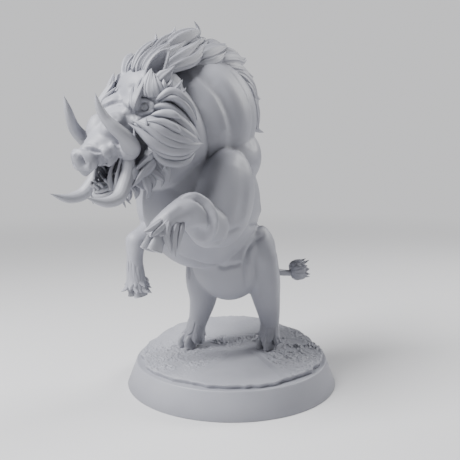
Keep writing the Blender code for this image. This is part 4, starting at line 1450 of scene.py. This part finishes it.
@dataclass
class Brow:
    """Swept tufts over an eye, the hair that runs up the forehead, and small tufts behind."""

    wing_shape: tuple = (0.3, 0.85, 1.0, 0.9, 0.6, 0.0)
    big_shape: tuple = (0.75, 1.0, 0.95, 0.75, 0.4, 0.0)
    small_shape: tuple = (0.5, 0.9, 1.0, 0.7, 0.3, 0.0)
    wings: tuple = (
        (0.66, 0.55, (4.7, -32.8, 62.9), (5.4, -33.2, 64.1), (5.6, -32.9, 65.3), (5.3, -31.7, 67.0),
         (5.2, -30.7, 68.5), (5.5, -29.8, 70.0)),
        (0.50, 0.45, (4.8, -32.7, 63.3), (5.2, -33.1, 65.0), (4.7, -32.2, 66.6), (4.1, -31.1, 68.3),
         (4.3, -30.2, 69.6)),
        (0.44, 0.40, (4.5, -32.6, 63.2), (4.8, -33.3, 64.3), (4.2, -32.9, 65.8), (3.2, -31.9, 67.1),
         (2.5, -30.8, 68.3)),
    )
    big: tuple = (
        (0.95, 0.70, (5.8, -30.9, 65.8), (5.4, -30.6, 67.4), (5.4, -30.0, 69.2), (5.6, -29.2, 71.2)),
        (1.00, 0.80, (6.3, -29.9, 65.7), (6.2, -30.0, 67.2), (6.0, -29.7, 69.0), (5.7, -29.1, 71.3)),
        (1.00, 0.80, (6.9, -28.9, 65.9), (6.9, -29.3, 67.2), (6.6, -29.3, 68.7), (6.0, -29.0, 70.6)),
        (0.90, 0.70, (7.3, -28.0, 66.2), (7.3, -28.6, 67.4), (7.0, -28.8, 68.6), (6.5, -28.7, 69.8)),
        (0.55, 0.50, (7.6, -27.6, 66.6), (7.8, -27.9, 67.7), (7.7, -27.9, 68.5), (7.5, -27.7, 69.3)),
    )
    small: tuple = (
        (1.25, 0.60, (5.6, -28.6, 67.6), (6.8, -27.4, 69.4), (7.6, -26.4, 70.6), (8.0, -25.2, 71.9)),
        (0.60, 0.45, (7.2, -27.6, 66.8), (7.9, -26.6, 68.0), (8.1, -25.5, 69.8)),
        (0.75, 0.50, (7.8, -26.8, 66.0), (8.7, -25.4, 67.4), (8.9, -24.0, 69.4)),
        (0.60, 0.45, (8.2, -26.2, 65.6), (9.2, -24.8, 66.6), (9.4, -23.6, 67.8)),
    )

    def build(self, side: Side, finish: bpy.types.Material) -> bpy.types.Object:
        """Makes one side's tufts.

        Args:
            side: Which eye.
            finish: Their material.

        Returns:
            The tufts as a piece.
        """
        coat = Coat(seed=31)
        coat.leaves(side, self.wings, (0.66, -0.74, 0.14), grooves=5, depth=0.08, shape=self.wing_shape)
        coat.leaves(side, self.big, (0.8, -0.6, 0.2), grooves=5, depth=0.1, shape=self.big_shape)
        coat.leaves(side, self.small, (1.0, -0.2, 0.4), grooves=7, depth=0.13, shape=self.small_shape)
        return finished_piece(coat.mesh("brow"), f"boar_brow_{side.label}", finish, [f"brow_{side.label}"])


@dataclass
class Beard:
    """Curved locks that hang below the jaw and the throat."""

    lock_shape: tuple = (0.7, 1.0, 0.95, 0.7, 0.4, 0.0)
    locks: tuple = (
        (0.85, 0.6, (5.6, -30.4, 55.4), (7.0, -28.6, 54.6), (7.4, -27.5, 53.4), (7.0, -28.2, 51.5)),
        (0.80, 0.6, (5.6, -28.0, 54.0), (6.5, -26.7, 52.4), (6.6, -26.0, 51.0), (6.3, -25.6, 49.2)),
        (0.85, 0.6, (4.8, -30.6, 52.4), (5.8, -28.6, 51.2), (6.1, -27.2, 50.0), (5.8, -27.3, 48.4)),
        (0.90, 0.6, (4.4, -31.8, 52.6), (5.4, -29.9, 51.0), (5.6, -28.9, 49.6), (5.0, -29.0, 48.0)),
        (1.05, 0.6, (4.0, -33.2, 50.6), (4.9, -31.4, 49.4), (4.9, -29.6, 48.2), (4.3, -29.4, 46.0)),
        (0.40, 0.4, (4.2, -33.2, 48.8), (4.4, -32.7, 47.8), (4.2, -32.4, 46.4)),
        (0.85, 0.6, (2.6, -32.6, 51.0), (3.4, -31.8, 49.0), (3.4, -31.2, 47.6), (3.0, -31.6, 46.2)),
        (0.80, 0.6, (1.4, -33.0, 50.8), (2.2, -32.8, 48.6), (2.2, -32.2, 47.0), (1.8, -32.4, 45.6)),
        (0.80, 0.6, (0.3, -33.2, 50.6), (0.8, -33.4, 48.4), (0.8, -32.8, 46.8), (0.6, -32.6, 45.3)),
        (0.95, 0.5, (6.8, -30.2, 55.2), (6.6, -31.3, 54.0), (6.1, -32.6, 53.0), (5.4, -33.8, 51.6)),
        (1.15, 0.6, (6.6, -29.6, 53.6), (6.6, -31.4, 52.2), (6.2, -33.0, 50.6), (5.2, -34.4, 48.6)),
        (1.0, 0.6, (5.8, -31.8, 51.6), (6.2, -31.2, 49.6), (6.0, -30.6, 48.0), (5.3, -30.8, 46.3)),
        (0.26, 0.26, (4.5, -36.2, 46.9), (4.9, -35.9, 46.0), (5.1, -35.6, 45.0)),
        (0.26, 0.26, (4.4, -35.5, 47.2), (4.9, -35.0, 46.4), (5.3, -34.4, 45.6)),
    )

    def build(self, finish: bpy.types.Material) -> bpy.types.Object:
        """Makes the beard.

        Args:
            finish: Its material.

        Returns:
            The beard as a piece.
        """
        coat = Coat(seed=41)
        for side in Side:
            coat.leaves(side, self.locks, (1.0, 0.3, -0.2), grooves=5, depth=0.13, shape=self.lock_shape)
        return finished_piece(coat.mesh("beard"), "boar_beard", finish, ["beard"])


@dataclass
class Fringe:
    """Hair that grows down a shank and turns out in hooks over the foot.

    Each layer starts further up the leg than the one before. It gives that rise, its share of the width,
    its half thickness and how much shorter its hooks are.
    """

    node: str
    centre: Point
    down: Point
    shank: float
    flare: float
    length: float
    count: int = 9
    seed: int = 1
    limb: Point | None = None
    width: float = 0.9
    extra: tuple = ()
    layers: tuple = ((0.0, 1.0, 0.44, 0.0), (1.2, 0.95, 0.42, 0.1), (2.4, 0.9, 0.4, 0.3))
    hook_shape: tuple = (0.0, 0.45, 0.8, 1.0, 1.0, 0.6, 0.0)
    extra_shape: tuple = (0.0, 0.6, 0.95, 1.0, 0.95, 0.6, 0.0)

    def build(self, finish: bpy.types.Material) -> bpy.types.Object:
        """Makes the fringe.

        Args:
            finish: Its material.

        Returns:
            The fringe as a piece.
        """
        coat = Coat(seed=self.seed)
        centre, down = Vector(self.centre), Vector(self.down).normalized()
        limb = Vector(self.limb or self.down).normalized()
        aside = down.cross(Vector((0, 1, 0))).normalized()
        around = down.cross(aside)
        for rise, part, thick, early in self.layers:
            for index in range(self.count):
                turned = math.tau * (index + 0.37 * rise + coat.random.uniform(-0.2, 0.2)) / self.count
                out = aside * math.cos(turned) + around * math.sin(turned)
                twist = out.cross(down) * coat.random.uniform(-1.0, 1.0)
                reach = self.length * coat.random.uniform(0.72, 1.14) * (1.0 - early)
                above = centre - limb * (rise + coat.random.uniform(2.6, 4.2))
                level = out - limb * out.dot(limb)
                flare = self.flare * (1.0 - early) * coat.random.uniform(0.15, 1.1)
                line = [
                    above + level * (self.shank - 0.8),
                    centre - limb * (0.6 * rise + 0.8) + level * (self.shank - 0.1),
                    centre + down * 0.45 * reach + out * (self.shank + 0.1) + 0.2 * twist,
                    centre + down * 0.82 * reach + out * (self.shank + 0.25 + 0.3 * flare) + 0.6 * twist,
                    centre + down * 1.0 * reach + out * (self.shank + 0.4 + 0.9 * flare) + 1.1 * twist,
                ]
                width = self.width * coat.random.uniform(0.75, 1.0) * part
                coat.lock(line, width, thick, out, grooves=3, rings=26, sides=20, shape=self.hook_shape)
        coat.leaves(Side.LEFT, self.extra, (1.0, -0.3, 0.1), grooves=5, shape=self.extra_shape)
        return finished_piece(coat.mesh("fringe"), f"boar_{self.node}", finish, [self.node])


@dataclass
class TailTuft:
    """The round tuft at the tail's end: a core and three layers of hooked locks.

    Each layer gives its count, the angles from the tail at which its locks start and end, and the length
    of their hooks.
    """

    middle: Point = (6.5, 18.0, 25.2)
    aside: Point = (0.72, 0.66, 0.22)
    radius: float = 2.0
    swell: tuple = (0.7, 1.0, 1.08, 1.12)
    layers: tuple = ((6, 5, 85, 1.7), (6, 25, 115, 1.8), (4, 55, 140, 1.5))
    hook_shape: tuple = (0.3, 0.75, 1.0, 1.0, 0.85, 0.45, 0.0)
    core_radius: float = 1.7
    core_shape: tuple = (0.0, 0.8, 1.0, 0.8, 0.0)

    def build(self, finish: bpy.types.Material) -> bpy.types.Object:
        """Makes the tuft.

        Args:
            finish: Its material.

        Returns:
            The tuft as a piece.
        """
        coat = Coat(seed=53)
        middle, aside = Vector(self.middle), Vector(self.aside).normalized()
        level = aside.cross(Vector((0, 0, 1))).normalized()
        upright = level.cross(aside)
        core = [middle - aside * 2.0, middle, middle + aside * 2.2]
        coat.lock(core, self.core_radius, self.core_radius, level, depth=0.06, shape=self.core_shape)
        for layer, (count, start, end, hook) in enumerate(self.layers):
            for index in range(count):
                turned = math.tau * (index + 0.5 * layer) / count + coat.random.uniform(-0.15, 0.15)
                out = level * math.cos(turned) + upright * math.sin(turned)
                line = []
                for step in range(4):
                    sweep = math.radians(start + (end - start) * step / 3)
                    size = self.radius * self.swell[step]
                    line.append(middle + size * (out * math.sin(sweep) - aside * math.cos(sweep)))
                line.append(line[-1] + hook * (0.25 * out + 0.9 * aside) * coat.random.uniform(0.6, 1.2))
                coat.lock(line, 1.1, 0.5, out, grooves=5, shape=self.hook_shape)
        return finished_piece(coat.mesh("tuft"), "boar_tail_tuft", finish, ["tail_tuft"])


# ------------------------------------------------------------------------------------------ the base


@dataclass
class Base:
    """The round tapered base and the stony ground on it.

    Raised joints of the stone meet at one place. spokes gives each one's direction and height, and plate
    gives the directions between which the stone is smooth. grit gives the middles, the radii and the
    strengths of the rough patches, and grains gives the widths of their lumps and each width's share.
    skirt gives the undercut below the rim: how far in, and what share of the way down to the disc.
    """

    bottom_radius: float = 25.0
    top_radius: float = 22.75
    height: float = 5.9
    edge: float = 0.35
    foot_edge: float = 0.15
    ground_radius: float = 22.2
    spans: int = 640
    rings: int = 130
    grit_height: float = 0.62
    grains: tuple = ((1.3, 0.22), (0.7, 0.34), (0.42, 0.32))
    stone_top: float = 7.0
    slope_start: float = 6.0
    slope: float = 0.17
    crack_place: float = 9.5
    crack_depth: float = 0.22
    crack_width: float = 0.35
    chip_spread: float = 9.0
    skirt: tuple = ((0.0, 0.25), (0.25, 0.6), (0.3, 1.0))
    degrees_in_radian: float = 57.3
    disc_steps: int = 160
    flat_facing: float = 0.98
    rim_drop: float = 0.12
    rim_share: float = 0.015
    meeting: tuple = (0.4, 5.3)
    plate: tuple = (-80.0, -27.0)
    spokes: tuple = ((-27.0, 0.3), (-9.5, 0.12), (-80.0, 0.16))
    grit: tuple = (
        ((-5.6, -10.5), (6.0, 11.0), 0.8),
        ((-5.0, 3.0), (5.4, 9.0), 1.0),
        ((12.6, 13.6), (6.5, 7.0), 0.9),
        ((-13.5, -9.0), (6.5, 8.0), 0.7),
        ((0.6, 10.6), (6.5, 4.8), 0.8),
    )

    def disc(self, finish: bpy.types.Material) -> bpy.types.Object:
        """Turns the tapered base.

        Args:
            finish: Its material.

        Returns:
            The base as a piece.
        """
        clay = Clay()
        slope = (self.bottom_radius - self.top_radius) / self.height
        profile = [(0, 0), (self.bottom_radius - self.foot_edge, 0), (self.bottom_radius, self.foot_edge)]
        for step in range(5):
            turn = 0.5 * math.pi * step / 4
            drop, inset = self.edge * (1 - math.sin(turn)), self.edge * (1 - math.cos(turn))
            profile.append((self.top_radius + slope * self.edge - inset, self.height - drop))
        profile.append((0, self.height))
        verts = [clay.shape.verts.new((radius, 0, height)) for radius, height in profile]
        edges = [clay.shape.edges.new(pair) for pair in zip(verts, verts[1:])]
        round_axis = {"cent": (0, 0, 0), "axis": (0, 0, 1), "angle": math.tau}
        bmesh.ops.spin(clay.shape, geom=verts + edges, steps=self.disc_steps, use_merge=True, **round_axis)
        bmesh.ops.remove_doubles(clay.shape, verts=clay.shape.verts, dist=SEAM)
        piece = finished_piece(clay.mesh("disc"), "base_disc_smooth", finish, ["base_disc"])
        for polygon in piece.data.polygons:
            polygon.use_smooth = abs(polygon.normal.z) < self.flat_facing
        return piece

    def ground_height(self, places: np.ndarray) -> np.ndarray:
        """Gives the top of the ground: plates of stone, and patches of grit between them.

        Args:
            places: X and Y of each place.

        Returns:
            The heights.
        """
        x, y = places[:, 0], places[:, 1]
        back = -0.67 * x + 0.74 * y
        height = self.stone_top + np.maximum(0.0, back - self.slope_start) * self.slope
        crack = np.abs(back - self.crack_place - 1.4 * np.sin(0.25 * (x + y)))
        height -= self.crack_depth * np.exp(-((crack / self.crack_width) ** 2)) * (back > 0)
        for spoke, lift in self.spokes:
            along = np.array([math.cos(math.radians(spoke)), math.sin(math.radians(spoke))])
            away = places - np.array(self.meeting)
            ahead = away @ along
            aside = np.abs(away @ np.array([-along[1], along[0]]))
            ridge = np.clip(1.0 - aside / (0.35 + 0.05 * np.abs(ahead)), 0.0, 1.0)
            height += lift * np.clip(ahead / 8.0, 0.0, 1.0) * ridge
        height += 0.05 * value_noise(places, 3.5, 9)
        rough = np.zeros(len(places))
        for centre, radii, strength in self.grit:
            away = (places - np.array(centre)) / np.array(radii)
            inside = np.clip(1.6 - 1.6 * np.hypot(away[:, 0], away[:, 1]), 0.0, 1.0)
            rough = np.maximum(rough, strength * inside)
        turned = np.degrees(np.arctan2(y - self.meeting[1], x - self.meeting[0]))
        far = np.hypot(x - self.meeting[0], y - self.meeting[1])
        outside = np.maximum(self.plate[0] - turned, turned - self.plate[1]) * far / self.degrees_in_radian
        loose = 0.5 - 0.3 * np.clip(back / 12.0, 0.0, 1.0)
        rough = np.maximum(rough, loose) * np.clip(outside / 1.2, 0.0, 1.0)
        rough *= np.clip(1.0 + 1.2 * value_noise(places, 2.6, 12), 0.2, 1.4)
        bits = np.zeros(len(places))
        for size, share in self.grains:
            bits += share * np.abs(value_noise(places, size, int(100 * size))) * 2.0
        return height + rough * (bits - 0.25) * self.grit_height

    def rim(self, angles: np.ndarray) -> np.ndarray:
        """Gives the ground's ragged outline.

        Args:
            angles: Angles round the base.

        Returns:
            Its radius at each.
        """
        ring = np.stack([np.cos(angles), np.sin(angles)], axis=1) * self.chip_spread
        chips = np.abs(value_noise(ring, 2.4, 31)) * 1.1 + np.abs(value_noise(ring, 0.9, 32)) * 0.45
        return self.ground_radius - chips

    def ground(self, finish: bpy.types.Material) -> bpy.types.Object:
        """Makes the ground: rings of points, a chipped edge and an undercut skirt.

        Args:
            finish: Its material.

        Returns:
            The ground as a piece.
        """
        clay = Clay()
        angles = np.linspace(0.0, math.tau, self.spans, endpoint=False)
        outline = self.rim(angles)
        steps = np.sqrt(np.linspace(0.0, 1.0, self.rings + 1))[1:]
        rows = []
        for step in steps:
            flat = np.stack([np.cos(angles), np.sin(angles)], axis=1) * (outline * step)[:, None]
            heights = self.ground_height(flat)
            rounding = np.clip((step - (1.0 - self.rim_share)) / self.rim_share, 0.0, 1.0)
            heights -= self.rim_drop * rounding**2
            rows.append([clay.shape.verts.new((x, y, z)) for (x, y), z in zip(flat, heights)])
        for inset, low in self.skirt:
            flat = np.stack([np.cos(angles), np.sin(angles)], axis=1) * (outline - inset)[:, None]
            tops = np.array([vert.co.z for vert in rows[len(steps) - 1]])
            heights = tops + (self.height - 0.05 - tops) * low
            rows.append([clay.shape.verts.new((x, y, z)) for (x, y), z in zip(flat, heights)])
        middle = clay.shape.verts.new((0, 0, float(self.ground_height(np.zeros((1, 2)))[0])))
        for one, two in zip(range(self.spans), [*range(1, self.spans), 0]):
            clay.shape.faces.new((middle, rows[0][one], rows[0][two]))
            for inner, outer in zip(rows, rows[1:]):
                clay.shape.faces.new((inner[one], outer[one], outer[two], inner[two]))
        return finished_piece(clay.mesh("ground"), "base_ground_stone", finish, ["base_ground"])


# ---------------------------------------------------------------------------------------- the studio


@dataclass
class Studio:
    """A pale floor, soft lights and a camera."""

    azimuth: float = 42.0
    elevation: float = 8.05
    distance: float = 151.25
    aim_height: float = 36.62
    aim_aside: float = -0.375
    focal_length: float = 50.0
    frame_width: float = 36.0
    light_aim: float = 40.0
    floor_radius: float = 6000.0
    sky_light: float = 0.08
    lamps: tuple = (
        ("key", -170, 110, 260, 130, 2.1),
        ("fill", 240, 160, 120, 240, 0.07),
        ("rim", 210, -120, 190, 120, 0.7),
    )

    def axes(self) -> tuple[Vector, Vector]:
        """Gives the camera's right and backward ways."""
        turn, rise = math.radians(self.azimuth), math.radians(self.elevation)
        right = Vector((math.cos(turn), math.sin(turn), 0))
        back = Vector((math.sin(turn) * math.cos(rise), -math.cos(turn) * math.cos(rise), math.sin(rise)))
        return right, back

    def camera(self) -> None:
        """Sets the camera."""
        right, back = self.axes()
        up = back.cross(right)
        lens = bpy.data.cameras.new("camera")
        lens.lens = self.focal_length
        lens.sensor_width = self.frame_width
        lens.clip_start, lens.clip_end = 0.005, 20.0
        seat = bpy.data.objects.new("camera", lens)
        turn = Matrix((right, up, back)).transposed().to_4x4()
        place = (right * self.aim_aside + Vector((0, 0, self.aim_height)) + back * self.distance) * MM
        seat.matrix_world = Matrix.Translation(place) @ turn
        bpy.context.scene.collection.objects.link(seat)
        bpy.context.scene.camera = seat

    def board(self) -> bpy.types.Mesh:
        """Makes the floor: one great round board, so that no edge shows from any side."""
        clay = Clay()
        bmesh.ops.create_circle(clay.shape, cap_ends=True, segments=96, radius=self.floor_radius)
        return clay.mesh("floor")

    def lamp(self, name: str, aside: float, back: float, height: float, size: float, power: float) -> None:
        """Adds a soft square light aimed at the boar.

        Args:
            name: What to call it.
            aside: Distance to the camera's right, in millimetres.
            back: Distance towards the camera.
            height: Height above the table.
            size: Its side.
            power: Its watts.
        """
        right, behind = self.axes()
        behind = Vector((behind.x, behind.y, 0)).normalized()
        place = right * aside + behind * back + Vector((0, 0, height))
        data = bpy.data.lights.new(name, "AREA")
        data.size = size * MM
        data.energy = power
        lamp = bpy.data.objects.new(name, data)
        turn = (place - Vector((0, 0, self.light_aim))).to_track_quat("Z", "Y").to_matrix().to_4x4()
        lamp.matrix_world = Matrix.Translation(place * MM) @ turn
        bpy.context.scene.collection.objects.link(lamp)

    def build(self) -> None:
        """Sets up the floor, the lights and the camera."""
        self.camera()
        for settings in self.lamps:
            self.lamp(*settings)
        mesh = self.board()
        mesh.transform(Matrix.Scale(MM, 4))
        mesh.materials.append(PaintedBoard().material())
        floor = bpy.data.objects.new("floor", mesh)
        bpy.context.scene.collection.objects.link(floor)
        world = bpy.data.worlds.new("studio")
        bpy.context.scene.world = world
        world.use_nodes = True
        tree = world.node_tree
        sky = tree.nodes["Background"]
        sky.inputs["Color"].default_value = linear(BACKDROP)
        seen = add_node(tree, "ShaderNodeLightPath", {}, {}).outputs["Is Camera Ray"]
        glow = {"To Min": self.sky_light, "To Max": BACKDROP_LIGHT}
        strength = add_node(tree, "ShaderNodeMapRange", glow, {"Value": seen})
        tree.links.new(strength.outputs["Result"], sky.inputs["Strength"])


# Longer locks on the raised left foreleg. Each is a half width, a half thickness and a line.
LEFT_LOCKS = (
    (0.7, 0.5, (11.0, -28.2, 44.0), (12.0, -29.0, 42.4), (12.2, -29.9, 40.2), (12.0, -29.9, 37.6),
     (12.1, -29.4, 35.4)),
    (0.6, 0.45, (11.6, -27.2, 43.2), (12.5, -28.1, 41.4), (12.4, -28.8, 39.2), (12.1, -29.0, 36.9)),
    (0.7, 0.5, (10.8, -29.6, 43.8), (11.8, -31.2, 42.2), (11.9, -31.6, 40.0), (11.8, -30.9, 38.0),
     (11.6, -30.3, 36.3)),
    (0.6, 0.45, (10.4, -30.4, 43.4), (11.2, -33.0, 42.4), (11.2, -34.8, 41.6), (11.0, -36.4, 41.1)),
    (0.6, 0.45, (10.8, -29.8, 43.0), (11.6, -32.0, 41.9), (11.6, -33.8, 40.9), (11.4, -35.0, 40.2)),
)


def fringes() -> list[Fringe]:
    """Lists the four feet's fringes, fitted to the legs.

    Returns:
        The fringes.
    """
    return [
        Fringe(
            "fore_fringe_left", (10.1, -31.2, 41.8), (0.05, -0.3, -0.95), 1.6, 0.4, 2.8, 6, 3,
            (-0.18, -0.81, -0.56), 0.8, LEFT_LOCKS,
        ),
        Fringe("fore_fringe_right", (-9.0, -22.0, 28.6), (0, 0.1, -1), 1.6, 2.0, 4.2, 9, 5, None, 0.95),
        Fringe(
            "hind_fringe_left", (5.7, 7.7, 13.0), (-0.05, -0.05, -1), 1.9, 1.1, 4.9, 10, 7,
            (-0.15, 0.3, -1), 0.85,
        ),
        Fringe(
            "hind_fringe_right", (-8.4, -3.6, 13.0), (-0.12, -0.12, -1), 1.9, 1.3, 4.9, 10, 9,
            (-0.3, -0.1, -1), 0.85,
        ),
    ]


def main() -> None:
    """Builds the figurine piece by piece, then its studio."""
    logging.basicConfig(level=logging.INFO, format="%(name)s: %(message)s")
    skin, hair, horn = SKIN_RESIN.material(), HAIR_RESIN.material(), HORN_RESIN.material()
    BoarSkin().build(skin)
    for side in Side:
        Eyes().build(side, horn)
        Tusks().build(side, horn)
        Ruff().build(side, hair)
        Brow().build(side, hair)
    Mouth().build(horn)
    hoofs = Hoofs()
    for node in hoofs.places:
        hoofs.build(node, horn)
    Mane().build(hair)
    Beard().build(hair)
    TailTuft().build(hair)
    for fringe in fringes():
        fringe.build(hair)
    base = Base()
    base.disc(DISC_RESIN.material())
    base.ground(STONE_RESIN.material())
    Studio().build()


if __name__ == "__main__":
    main()
